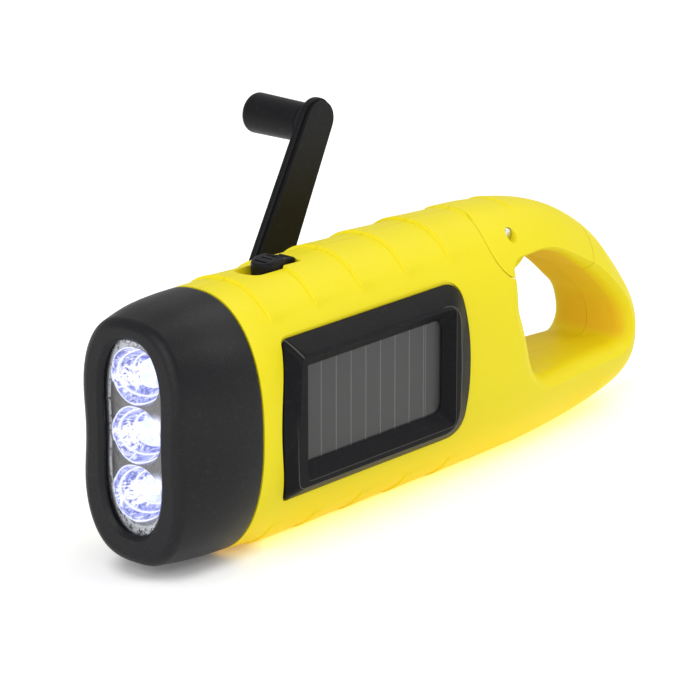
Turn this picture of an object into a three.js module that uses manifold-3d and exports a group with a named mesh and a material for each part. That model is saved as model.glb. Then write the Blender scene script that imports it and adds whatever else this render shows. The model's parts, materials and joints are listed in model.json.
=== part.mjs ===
// Hand crank torch with a solar panel, a folding crank and a carabiner tail.
// Millimetres, +Z up. X runs across the body (crank side negative), Y from lens to tail.
// The origin is on the flat underside, below the middle of the body.
import * as THREE from 'three';
import { mergeVertices } from 'three/addons/utils/BufferGeometryUtils.js';
import Module from 'manifold-3d';

const wasm = await Module();
wasm.setup();

// Overall size of the body.
const bodyLength = 135;
const bodyHeight = 48;
const bodyHalfWidth = 15.6;
const wall = 1.8;
const cavityRearY = 19.5;
const cavityShares = [0, 0.19, 0.59, 0.86, 0.95, 1];
const seatGap = 0.3;
const runningGap = 0.1;
const overrun = 3;
const sliverGap = 0.006;
const frontY = -bodyLength / 2;

// Facet counts.
const bodySectors = 28;
const cavitySectors = 20;
const roundFacets = 24;
const middleFacets = 16;
const smallFacets = 12;
const tinyFacets = 8;
const hexFacets = 6;
const cupFacets = 20;
const domeSteps = 5;
const cornerSteps = 4;
const fineFlank = 2;
const coarseFlank = 1;

// Angles in degrees.
const quarterTurn = 90;
const halfTurn = 180;

// Side outline of the body as shares of its length (from the lens) and of its height.
const topShares = [
  [0, 0.944], [0.055, 0.973], [0.126, 0.983], [0.192, 0.976], [0.31, 0.985], [0.458, 0.992],
  [0.606, 0.99], [0.679, 0.985], [0.746, 0.962], [0.783, 0.94], [0.815, 0.91], [0.856, 0.853],
  [0.896, 0.775], [0.923, 0.695], [0.949, 0.605], [0.973, 0.51], [0.99, 0.423], [1, 0.328],
];
const bottomShares = [
  [0, 0.046], [0.055, 0.027], [0.126, 0.01], [0.2, -0.006], [0.31, -0.0104], [0.716, -0.0104],
  [0.775, -0.004], [0.82, 0.005], [0.862, 0.018], [0.915, 0.045], [0.951, 0.08], [0.982, 0.148],
  [1, 0.271],
];
// Half width along the length, as shares of the length and of the half width.
const widthShares = [
  [0, 0.75], [0.126, 0.99], [0.2, 0.965], [0.3, 0.955], [0.6, 0.955], [0.68, 0.94], [0.75, 0.885],
  [0.82, 0.79], [0.9, 0.705], [0.96, 0.605], [0.985, 0.44], [1, 0.25],
];
const sectionRoundness = 2.3;

// Grip ribs: sawtooth steps over the top and the underside.
const ribHeight = 0.6;
const ribUnderShare = 0.5;
const ribPitch = 12.08;
const firstRibY = -43.7;
const ribCount = 6;
const ribRise = 0.7;
const ribDecay = 1.4;
const ribMidShare = 0.45;
const ribFadeStartShare = 0.7;
const ribFadeEndShare = 0.8;
const tailSteps = 9;

// Flat underside and the lap tab that crosses the parting plane.
const lapTabHalfWidth = 3;
const lapTabHalfLength = 6;

// Head bezel.
const headLength = 17;
const seamHalfGap = seatGap / 2;
const bezelWall = 1.9;
const bezelFaceWall = 0.9;
const bezelFrontHalfWidth = 12.1;
const bezelFrontHalfHeight = 21.9;
const bezelRearHalfWidth = 15.45;
const bezelFillet = 1.4;
const headRoundness = 2.8;
const headWaist = 1.2;
const headWaistReach = 8.5;
const headMiddleSteps = 4;
const filletShares = [0, 0.25, 1];
const neckWall = 1.4;
const neckLength = 3.4;

// Lens window, reflector and LEDs.
const windowHalfWidth = 7.5;
const windowHalfHeight = 17.3;
const windowWaist = 0.9;
const windowRoundness = 2.6;
const windowCentreZ = 24.6;
const lensLip = 1.1;
const lensThickness = 0.8;
const reflectorPlate = 1.1;
const ledPitch = 10.5;
const cupRadius = 5.15;
const cupDepth = 5.6;
const cupThroatRadius = 2.8;
const cupWall = 0.6;
const ledRadius = 2.5;
const ledFlangeRadius = 2.9;
const ledFlangeThickness = 1;
const ledLength = 7.6;
const ledBoardThickness = 1.6;
const ledBoardMargin = 1;

// Solar frame and panel on the +X side.
const frameBaseX = 12.5;
const frameCrestX = 16.6;
const frameFrontY = -43;
const frameFrontLean = 0.4;
const frameRearY = 4.4;
const frameFrontBow = 3.6;
const frameRearBow = 1.1;
const frameFrontRound = 30;
const frameRearRound = 120;
const frameBottomZ = 10.3;
const frameTopZ = 39;
const frameFrontCorner = 1.6;
const frameRearCorner = 4.5;
const frameProud = 0.15;
const frameFrontBevel = 0.7;
const frameSideBevel = 2.5;
const frameRearBevel = 4;
const panelFrontY = -41.4;
const panelRearY = -1.3;
const panelBottomZ = 14.1;
const panelTopZ = 35.7;
const panelThickness = 1.5;
const panelRim = 0.9;
const panelCorner = 2.5;
const frameFloor = 1.7;

// Slide switch on top. Its pad narrows to a neck behind, and its top slopes.
const buttonFrontHalfWidth = 1.5;
const buttonChamferHalfWidth = 2.2;
const buttonChamfer = 0.7;
const buttonHalfWidth = 2.5;
const buttonRearHalfWidth = 1.7;
const buttonFrontY = -35.3;
const buttonCheekLength = 1.8;
const buttonPadLength = 4.6;
const buttonNeckLength = 5.8;
const buttonLength = 8.3;
const buttonFrontZ = 48.1;
const buttonTopZ = 48.7;
const buttonRearZ = 47.4;
const buttonBottomZ = 45.9;
const buttonTravel = 3.5;
const buttonGroove = 0.45;
const buttonGrooveWidth = 0.55;
const buttonGrooveHalfLength = 1.15;
const buttonGrooveCount = 3;
const buttonGrooveStart = 0.9;
const buttonGroovePitch = 1.9;
const wellTaper = 0.5;
const wellFrontY = -39.9;
const wellFloorZ = 45.6;
const stemHalfWidth = 1.4;
const stemLength = 2.8;
const stemSetback = 3.5;
const boardTopZ = 39.6;
const boardThickness = 1.4;
const boardHalfWidth = 9;
const boardFrontY = -45;
const boardLength = 18;
const switchHeight = 3;
const switchLength = 9;
const switchHalfWidth = 3.4;
const leverHalfWidth = 0.9;
const leverLength = 1.2;
const leverSocketDepth = 1.6;
const rectifierLength = 4.6;
const rectifierHalfWidth = 2;
const rectifierHeight = 1.7;
const capacitorRadius = 2;
const capacitorLength = 5;
const partGap = 1.2;

// Crank: the hub axis, the arm's lean and its sizes.
const hubY = -16.9;
const hubZ = 24.5;
const crankLean = 62.5;
const hubRadius = 9.6;
const hubRecessRadius = 10.4;
const hubFloorX = -10.7;
const hubBaseThickness = 2.1;
const hubTopX = -18.9;
const hubShaftRadius = 3.5;
const hubHexRadius = 3;
const channelHalfWidth = 5.8;
const foldPinX = -17.4;
const foldPinOffset = 5;
const foldPinRadius = 1.2;
const armThickness = 2.2;
const armInnerX = -19.2;
const armBaseHalfWidth = 5.2;
const armTipRadius = 4.1;
const armReach = 37.9;
const armOverhang = 1;
const armTipSteps = 8;
const armLip = 0.5;
const armLipDepth = 0.8;
const knuckleRadius = 4.1;
const stopStart = 10;
const stopWidth = 2;
const knobRadius = 3.65;
const knobFlare = 0.15;
const knobLength = 14;
const knobRound = 1.2;
const knobRoundSteps = 4;
const knobCollar = 0.8;
const knobCollarRadius = 3.9;
const knobPinRadius = 1.5;
const knobPinSeat = 1.4;
const knobPinReach = 8.5;
const armSlotHalfWidth = 5.9;
const armSlotFloorX = -13.1;
const knobPocketRadius = 4.6;
const knobPocketFloorX = -1;
const pocketWall = 1.2;
const knobStowY = hubY - foldPinOffset + armReach;

// Gear train.
const gearModule = 0.7;
const driveTeeth = 40;
const idlerTeeth = 30;
const pinionTeeth = 10;
const gearThickness = 1.7;
const gearLayerGap = 0.4;
const pressureAngle = 20;
const toothShare = 0.42;
const addendumShare = 0.8;
const dedendumShare = 1.15;
const firstLayerX = -8.6;
const idlerLean = 25;
const secondIdlerLean = -95;
const rotorLean = -24;
const pinRadius = 1;
const pinBossRadius = 2.6;
const pinDepth = 2;
const plateThickness = 1.2;
const plateX = -2.6;
const plateBorder = 3.4;
const postRadius = 2.4;
const postShares = [[0.3704, 0.1354], [0.3889, 0.875], [0.5259, 0.1042]];

// Alternator.
const shaftRadius = 0.8;
const magnetRadius = 5;
const magnetX = 1.4;
const magnetLength = 4.4;
const canRadius = 8.5;
const canX = seatGap;
const canLength = 6.6;
const canWall = 0.8;
const bobbinRadius = 5.5;
const bobbinWall = 0.5;
const windingRadius = 7.2;

// Cells.
const cellY = -40.5;
const cellZ = 14.6;
const cellRadius = 7.6;
const cellLength = 5.6;
const cellCount = 3;
const cellGap = 0.3;
const sleeveWall = 0.3;
const tabWidth = 3;
const tabThickness = 0.25;
const cradleHalfLength = 4;
const cradleInnerX = 5;

// Screws.
const screwRadius = 1.1;
const screwHeadRadius = 2.4;
const screwHeadHeight = 1.3;
const screwBossRadius = 3.1;
const screwSlot = 0.5;
const caseScrewHeadDepth = 4.2;
const caseScrewLength = 15;
const tailScrewLength = 10;
const caseScrewShares = [[0.2926, 0.1354], [0.5852, 0.8229], [0.7926, 0.1354], [0.91, 0.14]];
const bossedScrews = 2;
const gearboxScrewLength = 6;
const hubScrewLength = 5;
const washerRadius = 3.2;
const washerThickness = 0.4;

// Carabiner gate and loop.
const gatePinY = 23.3;
const gatePinZ = 42.8;
const gatePinRadius = 1.2;
const gatePinHalfLength = 8.8;
const gateKnuckleRadius = 7.5;
const gateDiscHalfWidth = 8.6;
const gateClearance = 0.35;
const gateReach = 26.5;
const gateBrowLean = 130;
const gateHeelLean = -52;
const gateEndLean = 20;
const gateArcSteps = 16;
const gateEndSteps = 5;
const tongueHalfWidth = 4.4;
const tongueRadius = 3.4;
const tongueHalfHeight = 3;
const springRadius = 2.4;
const springBore = 1.45;
const springHalfLength = 1.9;
const springNotchRadius = 2.7;
const loopFillet = 4;
const gateFillet = 2.2;
const filletLowZ = 29;
const filletHighZ = 37;
const loopRimShares = [0, 0.5, 0.85, 1];
// Corners of the loop: shares of the body's length, height and, for the radius, height again.
const loopCornerShares = [
  [0.66, 0.798, 0.042],
  [0.666, 0.615, 0.188],
  [0.7037, 0.294, 0.188],
  [0.9444, 0.2875, 0.071],
  [0.931, 0.448, 0.2],
  [0.8674, 0.61, 1],
  [0.7578, 0.796, 0.45],
];

// Wires.
const solarWireY = -36;
const solarWireZ = 31;
const wireHoleRadius = 1;
const wireRadius = 0.55;
const wireFacets = 8;
const wireSteps = 8;
const wireSpread = 3;

// Finishes.
const yellowPlastic = { color: 0xf4e632, roughness: 0.42, metalness: 0 };
const blackPlastic = { color: 0x2b2b2e, roughness: 0.5, metalness: 0 };
const clearPlastic = { color: 0xe8f0ff, roughness: 0.05, metalness: 0, transparent: true, opacity: 0.35 };
const chromePlate = { color: 0xe4e6ea, roughness: 0.08, metalness: 1 };
const ledEpoxy = { color: 0xdfe6ff, roughness: 0.08, metalness: 0 };
const boardGreen = { color: 0x1f6b3a, roughness: 0.5, metalness: 0 };
const solarGlass = { color: 0x5a5a5c, roughness: 0.25, metalness: 0 };
const brightSteel = { color: 0xc4c6c9, roughness: 0.3, metalness: 1 };
const whiteNylon = { color: 0xe9e7df, roughness: 0.55, metalness: 0 };
const copperWire = { color: 0xb5652d, roughness: 0.35, metalness: 1 };
const darkMagnet = { color: 0x3a3a3c, roughness: 0.4, metalness: 0.6 };
const greenSleeve = { color: 0x2f8f4e, roughness: 0.4, metalness: 0 };
const redWire = { color: 0xb3221c, roughness: 0.5, metalness: 0 };
const blackWire = { color: 0x161616, roughness: 0.5, metalness: 0 };

const torch = new THREE.Group();

// Turns a closed geometry into a solid, with its faces pointing out.
function solidOf(geometry) {
  const bare = geometry.clone();
  bare.deleteAttribute('normal');
  bare.deleteAttribute('uv');
  const merged = mergeVertices(bare);
  const vertProperties = new Float32Array(merged.attributes.position.array);
  const triVerts = new Uint32Array(merged.index.array);
  return new wasm.Manifold(new wasm.Mesh({ numProp: 3, vertProperties, triVerts }));
}

// Drops the slivers that cutting leaves, and gives the drawn surface.
function geometryOf(solid) {
  const mesh = solid.simplify(sliverGap).getMesh();
  const geometry = new THREE.BufferGeometry();
  geometry.setAttribute('position', new THREE.BufferAttribute(new Float32Array(mesh.vertProperties), 3));
  geometry.setIndex(new THREE.BufferAttribute(new Uint32Array(mesh.triVerts), 1));
  geometry.computeVertexNormals();
  return geometry;
}

function addPiece(name, solid, finish, parent = torch) {
  const mesh = new THREE.Mesh(geometryOf(solid), new THREE.MeshStandardMaterial(finish));
  mesh.name = name;
  parent.add(mesh);
  return mesh;
}

function box(x0, x1, y0, y1, z0, z1) {
  const geometry = new THREE.BoxGeometry(x1 - x0, y1 - y0, z1 - z0);
  geometry.translate((x0 + x1) / 2, (y0 + y1) / 2, (z0 + z1) / 2);
  return solidOf(geometry);
}

// A round bar along X.
function rod(radius, x0, x1, y = 0, z = 0, facets = roundFacets) {
  const geometry = new THREE.CylinderGeometry(radius, radius, x1 - x0, facets);
  geometry.rotateZ(Math.PI / 2);
  geometry.translate((x0 + x1) / 2, y, z);
  return solidOf(geometry);
}

// A round bar along Y.
function rodY(radius, y0, y1, x = 0, z = 0, facets = roundFacets) {
  const geometry = new THREE.CylinderGeometry(radius, radius, y1 - y0, facets);
  geometry.translate(x, (y0 + y1) / 2, z);
  return solidOf(geometry);
}

function ring(outer, inner, x0, x1, y = 0, z = 0, facets = roundFacets) {
  return rod(outer, x0, x1, y, z, facets).subtract(rod(inner, x0 - overrun, x1 + overrun, y, z, facets));
}

// A side outline in Y and Z, given as points, drawn out along X.
function prism(points, x0, x1) {
  const shape = new THREE.Shape(points.map((point) => new THREE.Vector2(point.y, point.z)));
  const geometry = new THREE.ExtrudeGeometry(shape, { depth: x1 - x0, bevelEnabled: false, steps: 1 });
  const toSide = new THREE.Matrix4().makeBasis(
    new THREE.Vector3(0, 1, 0),
    new THREE.Vector3(0, 0, 1),
    new THREE.Vector3(1, 0, 0),
  );
  geometry.applyMatrix4(toSide);
  geometry.translate(x0, 0, 0);
  return solidOf(geometry);
}

// A closed skin over rings of points, with a fan over each end.
function loft(rings) {
  const count = rings[0].length;
  const positions = [];
  const indices = [];
  rings.forEach((points) => points.forEach((point) => positions.push(point.x, point.y, point.z)));
  for (let row = 0; row + 1 < rings.length; row += 1) {
    for (let k = 0; k < count; k += 1) {
      const next = (k + 1) % count;
      const a = row * count + k;
      const b = row * count + next;
      const c = a + count;
      const d = b + count;
      indices.push(a, c, b, b, c, d);
    }
  }
  [0, rings.length - 1].forEach((row, end) => {
    const centre = new THREE.Vector3();
    rings[row].forEach((point) => centre.add(point));
    centre.divideScalar(count);
    const hub = positions.length / 3;
    positions.push(centre.x, centre.y, centre.z);
    for (let k = 0; k < count; k += 1) {
      const next = (k + 1) % count;
      const a = row * count + k;
      const b = row * count + next;
      if (end === 0) indices.push(hub, a, b);
      else indices.push(hub, b, a);
    }
  });
  const geometry = new THREE.BufferGeometry();
  geometry.setAttribute('position', new THREE.Float32BufferAttribute(positions, 3));
  geometry.setIndex(indices);
  return facingOut(geometry);
}

// Builds the solid, turning the faces round when the loft ran the other way.
function facingOut(geometry) {
  const index = geometry.index.array;
  const position = geometry.attributes.position;
  const a = new THREE.Vector3();
  const b = new THREE.Vector3();
  const c = new THREE.Vector3();
  let volume = 0;
  for (let k = 0; k < index.length; k += 3) {
    a.fromBufferAttribute(position, index[k]);
    b.fromBufferAttribute(position, index[k + 1]);
    c.fromBufferAttribute(position, index[k + 2]);
    volume += a.dot(b.cross(c));
  }
  if (volume < 0) {
    for (let k = 0; k < index.length; k += 3) {
      [index[k + 1], index[k + 2]] = [index[k + 2], index[k + 1]];
    }
  }
  return solidOf(geometry);
}

function radians(degrees) {
  return (degrees * Math.PI) / halfTurn;
}

function polar(centreY, centreZ, radius, degrees) {
  const angle = radians(degrees);
  return { y: centreY + radius * Math.cos(angle), z: centreZ + radius * Math.sin(angle) };
}

// Points of an arc in the side plane, from one angle to another.
function arc(centreY, centreZ, radius, from, to, steps) {
  const points = [];
  for (let k = 0; k <= steps; k += 1) {
    points.push(polar(centreY, centreZ, radius, from + ((to - from) * k) / steps));
  }
  return points;
}

// Rounds each corner of a closed outline with its own radius.
function rounded(corners, steps = cornerSteps) {
  const points = [];
  corners.forEach((corner, k) => {
    const before = corners[(k + corners.length - 1) % corners.length];
    const after = corners[(k + 1) % corners.length];
    const here = new THREE.Vector2(corner.y, corner.z);
    const back = new THREE.Vector2(before.y, before.z).sub(here).normalize();
    const ahead = new THREE.Vector2(after.y, after.z).sub(here).normalize();
    const half = Math.acos(THREE.MathUtils.clamp(back.dot(ahead), -1, 1)) / 2;
    const setback = corner.radius / Math.tan(half);
    const start = here.clone().addScaledVector(back, setback);
    const end = here.clone().addScaledVector(ahead, setback);
    const curve = new THREE.QuadraticBezierCurve(start, here, end);
    curve.getPoints(steps).forEach((point) => points.push({ y: point.x, z: point.y }));
  });
  return points;
}

// Moves an outline outwards by a distance, for a hollow that widens to its rim.
function widened(points, distance) {
  const signedArea = THREE.ShapeUtils.area(points.map((point) => new THREE.Vector2(point.y, point.z)));
  const side = Math.sign(signedArea);
  return points.map((point, k) => {
    const before = points[(k + points.length - 1) % points.length];
    const after = points[(k + 1) % points.length];
    const along = new THREE.Vector2(after.y - before.y, after.z - before.z).normalize();
    return { y: point.y + along.y * distance * side, z: point.z - along.x * distance * side };
  });
}

// Smooth value at a share of the length, eased so that the tail closes with an upright tangent.
function valueAt(shares, share) {
  const ease = (value) => Math.sqrt(Math.max(0, 1 - value));
  const here = ease(share);
  let k = 0;
  while (k + 2 < shares.length && share > shares[k + 1][0]) k += 1;
  const before = shares[Math.max(0, k - 1)];
  const start = shares[k];
  const end = shares[k + 1];
  const after = shares[Math.min(shares.length - 1, k + 2)];
  const span = ease(end[0]) - ease(start[0]);
  const t = (here - ease(start[0])) / span;
  const slopeStart = ((end[1] - before[1]) / (ease(end[0]) - ease(before[0]))) * span;
  const slopeEnd = ((after[1] - start[1]) / (ease(after[0]) - ease(start[0]))) * span;
  const square = t * t;
  const cube = square * t;
  return (2 * cube - 3 * square + 1) * start[1] + (cube - 2 * square + t) * slopeStart
    + (3 * square - 2 * cube) * end[1] + (cube - square) * slopeEnd;
}

// A place in the side plane from shares of the body's length and height.
function placeAtShares([along, upward]) {
  return { y: frontY + along * bodyLength, z: upward * bodyHeight };
}

// The body's size at a place along its length.
function bodyAt(y) {
  const share = THREE.MathUtils.clamp((y - frontY) / bodyLength, 0, 1);
  const top = valueAt(topShares, share) * bodyHeight;
  const bottom = valueAt(bottomShares, share) * bodyHeight;
  return {
    centre: (top + bottom) / 2,
    halfHeight: (top - bottom) / 2,
    halfWidth: valueAt(widthShares, share) * bodyHalfWidth,
  };
}

// A superellipse ring across the body, pinched at the waist where one is given.
function section({ y, centre, halfWidth, halfHeight, roundness, sectors, waist = 0, waistReach = 1, proud }) {
  const points = [];
  for (let k = 0; k < sectors; k += 1) {
    const angle = (Math.PI * (2 * k + 1)) / sectors;
    const cosine = Math.cos(angle);
    const sine = Math.sin(angle);
    const across = Math.sign(cosine) * Math.abs(cosine) ** (2 / roundness);
    const upward = Math.sign(sine) * Math.abs(sine) ** (2 / roundness);
    const z = upward * halfHeight;
    const pinch = waist * Math.exp(-((z / waistReach) ** 2));
    const x = across * (halfWidth - pinch);
    const lift = proud ? proud(upward) / Math.hypot(x, z) : 0;
    points.push(new THREE.Vector3(x * (1 + lift), y, centre + z * (1 + lift)));
  }
  return points;
}

// How far a rib stands proud at a place along the body.
function ribAt(y) {
  const along = (y - firstRibY) / ribPitch;
  const index = Math.floor(along);
  if (index < 0 || index >= ribCount) return 0;
  const past = (along - index) * ribPitch;
  if (past < ribRise) return (ribHeight * past) / ribRise;
  return ribHeight * (1 - (past - ribRise) / (ribPitch - ribRise)) ** ribDecay;
}

// Ribs die away on the sides, and they are lower on the underside than on top.
function ribFade(upward) {
  const strength = upward > 0 ? 1 : ribUnderShare;
  const short = ribFadeEndShare - Math.abs(upward);
  return strength * (1 - THREE.MathUtils.smoothstep(short, 0, ribFadeEndShare - ribFadeStartShare));
}

function bodyRing(y) {
  const size = bodyAt(y);
  const height = ribAt(y);
  const proud = height > 0 ? (upward) => height * ribFade(upward) : undefined;
  return section({ y, ...size, roundness: sectionRoundness, sectors: bodySectors, proud });
}

// Places along the body where its skin changes slope.
function bodyStations() {
  const places = [frontY + headLength + seamHalfGap];
  for (let k = 0; k < ribCount; k += 1) {
    const start = firstRibY + k * ribPitch;
    places.push(start, start + ribRise, start + ribPitch * ribMidShare);
  }
  const ribEnd = firstRibY + ribCount * ribPitch;
  places.push(ribEnd);
  for (let k = 1; k <= tailSteps; k += 1) {
    const eased = 1 - (1 - k / tailSteps) ** 2;
    places.push(ribEnd + (-frontY - ribEnd) * eased);
  }
  return places;
}

const bodySkin = loft(bodyStations().map(bodyRing));

function insetRing(y, inset, sectors = cavitySectors) {
  const size = bodyAt(y);
  return section({
    y,
    centre: size.centre,
    halfWidth: size.halfWidth - inset,
    halfHeight: size.halfHeight - inset,
    roundness: sectionRoundness,
    sectors,
  });
}

// The hollow inside the two shells, from the head to just before the loop.
const cavity = loft(cavityShares.map((share, k) => {
  const last = k === cavityShares.length - 1;
  const y = THREE.MathUtils.lerp(frontY + headLength - overrun, cavityRearY, share);
  return insetRing(y, last ? wall + overrun : wall);
}));

// The collar of the shells that the bezel slides over.
const seamY = frontY + headLength;
const neckFrontY = seamY - neckLength;

function headSize(y) {
  const share = THREE.MathUtils.clamp((y - frontY) / headLength, 0, 1);
  const size = bodyAt(y);
  return {
    centre: size.centre,
    halfWidth: THREE.MathUtils.lerp(bezelFrontHalfWidth, bezelRearHalfWidth, Math.sin((share * Math.PI) / 2)),
    halfHeight: size.halfHeight,
    fade: 1 - share,
  };
}

function headRing(y, inset, sectors) {
  const size = headSize(y);
  return section({
    y,
    centre: size.centre,
    halfWidth: size.halfWidth - inset,
    halfHeight: size.halfHeight - inset,
    roundness: THREE.MathUtils.lerp(sectionRoundness, headRoundness, size.fade),
    sectors,
    waist: headWaist * size.fade,
    waistReach: headWaistReach,
  });
}

const neckInset = bezelWall + seatGap;
const neckOuter = loft([
  headRing(neckFrontY, neckInset, bodySectors),
  headRing(seamY + seatGap, neckInset, bodySectors),
]);
const neckInner = loft([
  headRing(neckFrontY - overrun, neckInset + neckWall, bodySectors),
  headRing(seamY + 2 * overrun, neckInset + neckWall, bodySectors),
]);
const neckRoot = loft([
  insetRing(seamY + seamHalfGap, wall / 2, bodySectors),
  insetRing(seamY + overrun, wall / 2, bodySectors),
]);

// Peanut outline of the lens window, drawn out along Y.
function windowSlab(margin, y0, y1) {
  const outline = (y) => section({
    y,
    centre: windowCentreZ,
    halfWidth: windowHalfWidth + margin,
    halfHeight: windowHalfHeight + margin,
    roundness: windowRoundness,
    sectors: bodySectors,
    waist: windowWaist,
    waistReach: headWaistReach,
  });
  return loft([outline(y0), outline(y1)]);
}

function makeBezel() {
  const rings = filletShares.map((share) => {
    const y = frontY + bezelFillet * share;
    return headRing(y, bezelFillet * (1 - Math.sqrt(1 - (1 - share) ** 2)), bodySectors);
  });
  for (let k = 1; k <= headMiddleSteps; k += 1) {
    const y = frontY + bezelFillet + ((headLength - seamHalfGap - bezelFillet) * k) / headMiddleSteps;
    rings.push(headRing(y, 0, bodySectors));
  }
  const hollow = [frontY + bezelFaceWall, (frontY + seamY) / 2, neckFrontY, seamY + seatGap, seamY + overrun]
    .map((y) => headRing(y, bezelWall, bodySectors));
  const opening = windowSlab(0, frontY - overrun, frontY + bezelFaceWall + overrun);
  return loft(rings).subtract(loft(hollow)).subtract(opening);
}

// Where the pieces behind the window sit.
const lensY = frontY + bezelFaceWall + seatGap;
const reflectorY = lensY + lensThickness + seatGap;
const ledBoardY = neckFrontY - seatGap - ledBoardThickness;
const ledPlaces = [1, 0, -1].map((step) => windowCentreZ + step * ledPitch);

function cone(frontRadius, rearRadius, y0, y1, z, facets) {
  const geometry = new THREE.CylinderGeometry(rearRadius, frontRadius, y1 - y0, facets);
  geometry.translate(0, (y0 + y1) / 2, z);
  return solidOf(geometry);
}

function makeReflector() {
  const rearY = reflectorY + cupDepth;
  let solid = windowSlab(lensLip, reflectorY, reflectorY + reflectorPlate);
  ledPlaces.forEach((z) => {
    solid = solid.add(cone(cupRadius + cupWall, cupThroatRadius + cupWall, reflectorY, rearY, z, cupFacets));
  });
  ledPlaces.forEach((z) => {
    const hollow = cone(cupRadius, cupThroatRadius, reflectorY - runningGap, rearY, z, cupFacets);
    const throat = rodY(cupThroatRadius, rearY - runningGap, rearY + overrun, 0, z, cupFacets);
    solid = solid.subtract(hollow).subtract(throat);
  });
  return solid;
}

function makeLed(z) {
  const rear = ledBoardY - seatGap;
  const profile = [new THREE.Vector2(0, 0), new THREE.Vector2(ledFlangeRadius, 0)];
  profile.push(new THREE.Vector2(ledFlangeRadius, ledFlangeThickness));
  profile.push(new THREE.Vector2(ledRadius, ledFlangeThickness));
  for (let k = 0; k <= domeSteps; k += 1) {
    const angle = (Math.PI / 2) * (k / domeSteps);
    const radius = k === domeSteps ? 0 : ledRadius * Math.cos(angle);
    profile.push(new THREE.Vector2(radius, ledLength - ledRadius + ledRadius * Math.sin(angle)));
  }
  const geometry = new THREE.LatheGeometry(profile, smallFacets);
  geometry.rotateX(Math.PI);
  geometry.translate(0, rear, z);
  return facingOut(indexed(geometry));
}

// Merges a lathe's seam so that its skin is closed.
function indexed(geometry) {
  geometry.deleteAttribute('normal');
  geometry.deleteAttribute('uv');
  const merged = mergeVertices(geometry);
  const kept = [];
  const index = merged.index.array;
  for (let k = 0; k < index.length; k += 3) {
    const [a, b, c] = [index[k], index[k + 1], index[k + 2]];
    if (a !== b && b !== c && c !== a) kept.push(a, b, c);
  }
  merged.setIndex(kept);
  return merged;
}

function makeLedBoard() {
  const inset = bezelWall + ledBoardMargin;
  return loft([
    headRing(ledBoardY, inset, cavitySectors),
    headRing(ledBoardY + ledBoardThickness, inset, cavitySectors),
  ]);
}

// Outline of the solar frame: straight top and bottom, and slightly bowed ends.
function frameOutline(
  grow,
  rearGrow = grow,
  frontGrow = grow,
  frontBow = frameFrontBow,
  rearBow = frameRearBow,
) {
  const middle = (frameBottomZ + frameTopZ) / 2;
  return rounded([
    { y: frameFrontY + frameFrontLean - frontGrow, z: frameTopZ + grow, radius: frameFrontCorner },
    { y: frameFrontY - frontBow - frontGrow, z: middle, radius: frameFrontRound },
    { y: frameFrontY - frameFrontLean - frontGrow, z: frameBottomZ - grow, radius: frameFrontCorner },
    { y: frameRearY + rearGrow, z: frameBottomZ - grow, radius: frameRearCorner },
    { y: frameRearY + rearBow + rearGrow, z: middle, radius: frameRearRound },
    { y: frameRearY + rearGrow, z: frameTopZ + grow, radius: frameRearCorner },
  ]);
}

function panelOutline(shrink) {
  return rounded([
    { y: panelFrontY + shrink, z: panelTopZ - shrink },
    { y: panelFrontY + shrink, z: panelBottomZ + shrink },
    { y: panelRearY - shrink, z: panelBottomZ + shrink },
    { y: panelRearY - shrink, z: panelTopZ - shrink },
  ].map((corner) => ({ ...corner, radius: panelCorner })), cornerSteps - 1);
}

function sideRing(points, x) {
  return points.map((point) => new THREE.Vector3(x, point.y, point.z));
}

function makeSolarFrame() {
  const base = frameOutline(0);
  const crest = frameOutline(-frameSideBevel, -frameRearBevel, -frameFrontBevel, seatGap, seatGap);
  const shoulder = base.map(({ y, z }) => new THREE.Vector3(skinHalfWidth(y, z) + frameProud, y, z));
  const body = loft([sideRing(base, frameBaseX), shoulder, sideRing(crest, frameCrestX)]);
  const seat = prism(panelOutline(-seatGap), frameBaseX - overrun, frameBaseX + panelThickness + seatGap);
  const opening = prism(panelOutline(panelRim), frameBaseX, frameCrestX + overrun);
  return body.subtract(seat).subtract(opening);
}

// A block between two heights, each with its own plan outline of [x, y] points.
function planLoft(lower, upper, z0, z1) {
  const level = (points, z) => points.map(([x, y]) => new THREE.Vector3(x, y, z));
  return loft([level(lower, z0), level(upper, z1)]);
}

// The scooped well that the slide button runs in, rounded at its front.
function buttonWell(grow) {
  const rear = buttonFrontY + buttonLength + seatGap + grow;
  const half = buttonHalfWidth + seatGap + grow;
  const centreY = wellFrontY + buttonHalfWidth + seatGap;
  const outline = (shrink) => [
    [half, rear],
    ...arc(0, centreY, half, 0, -halfTurn, roundFacets / 2).map((point) => [point.y, point.z + shrink]),
    [-half, rear],
  ];
  const floorZ = wellFloorZ - grow;
  return planLoft(outline(wellTaper), outline(0), floorZ, buttonTopZ)
    .add(planLoft(outline(0), outline(0), buttonTopZ - seatGap, buttonTopZ + overrun));
}

function buttonPlan() {
  const right = [
    [buttonFrontHalfWidth, buttonFrontY],
    [buttonChamferHalfWidth, buttonFrontY + buttonChamfer],
    [buttonHalfWidth, buttonFrontY + buttonCheekLength],
    [buttonHalfWidth, buttonFrontY + buttonPadLength],
    [buttonRearHalfWidth, buttonFrontY + buttonNeckLength],
    [buttonRearHalfWidth, buttonFrontY + buttonLength],
  ];
  return [...right, ...right.map(([x, y]) => [-x, y]).reverse()];
}

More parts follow.
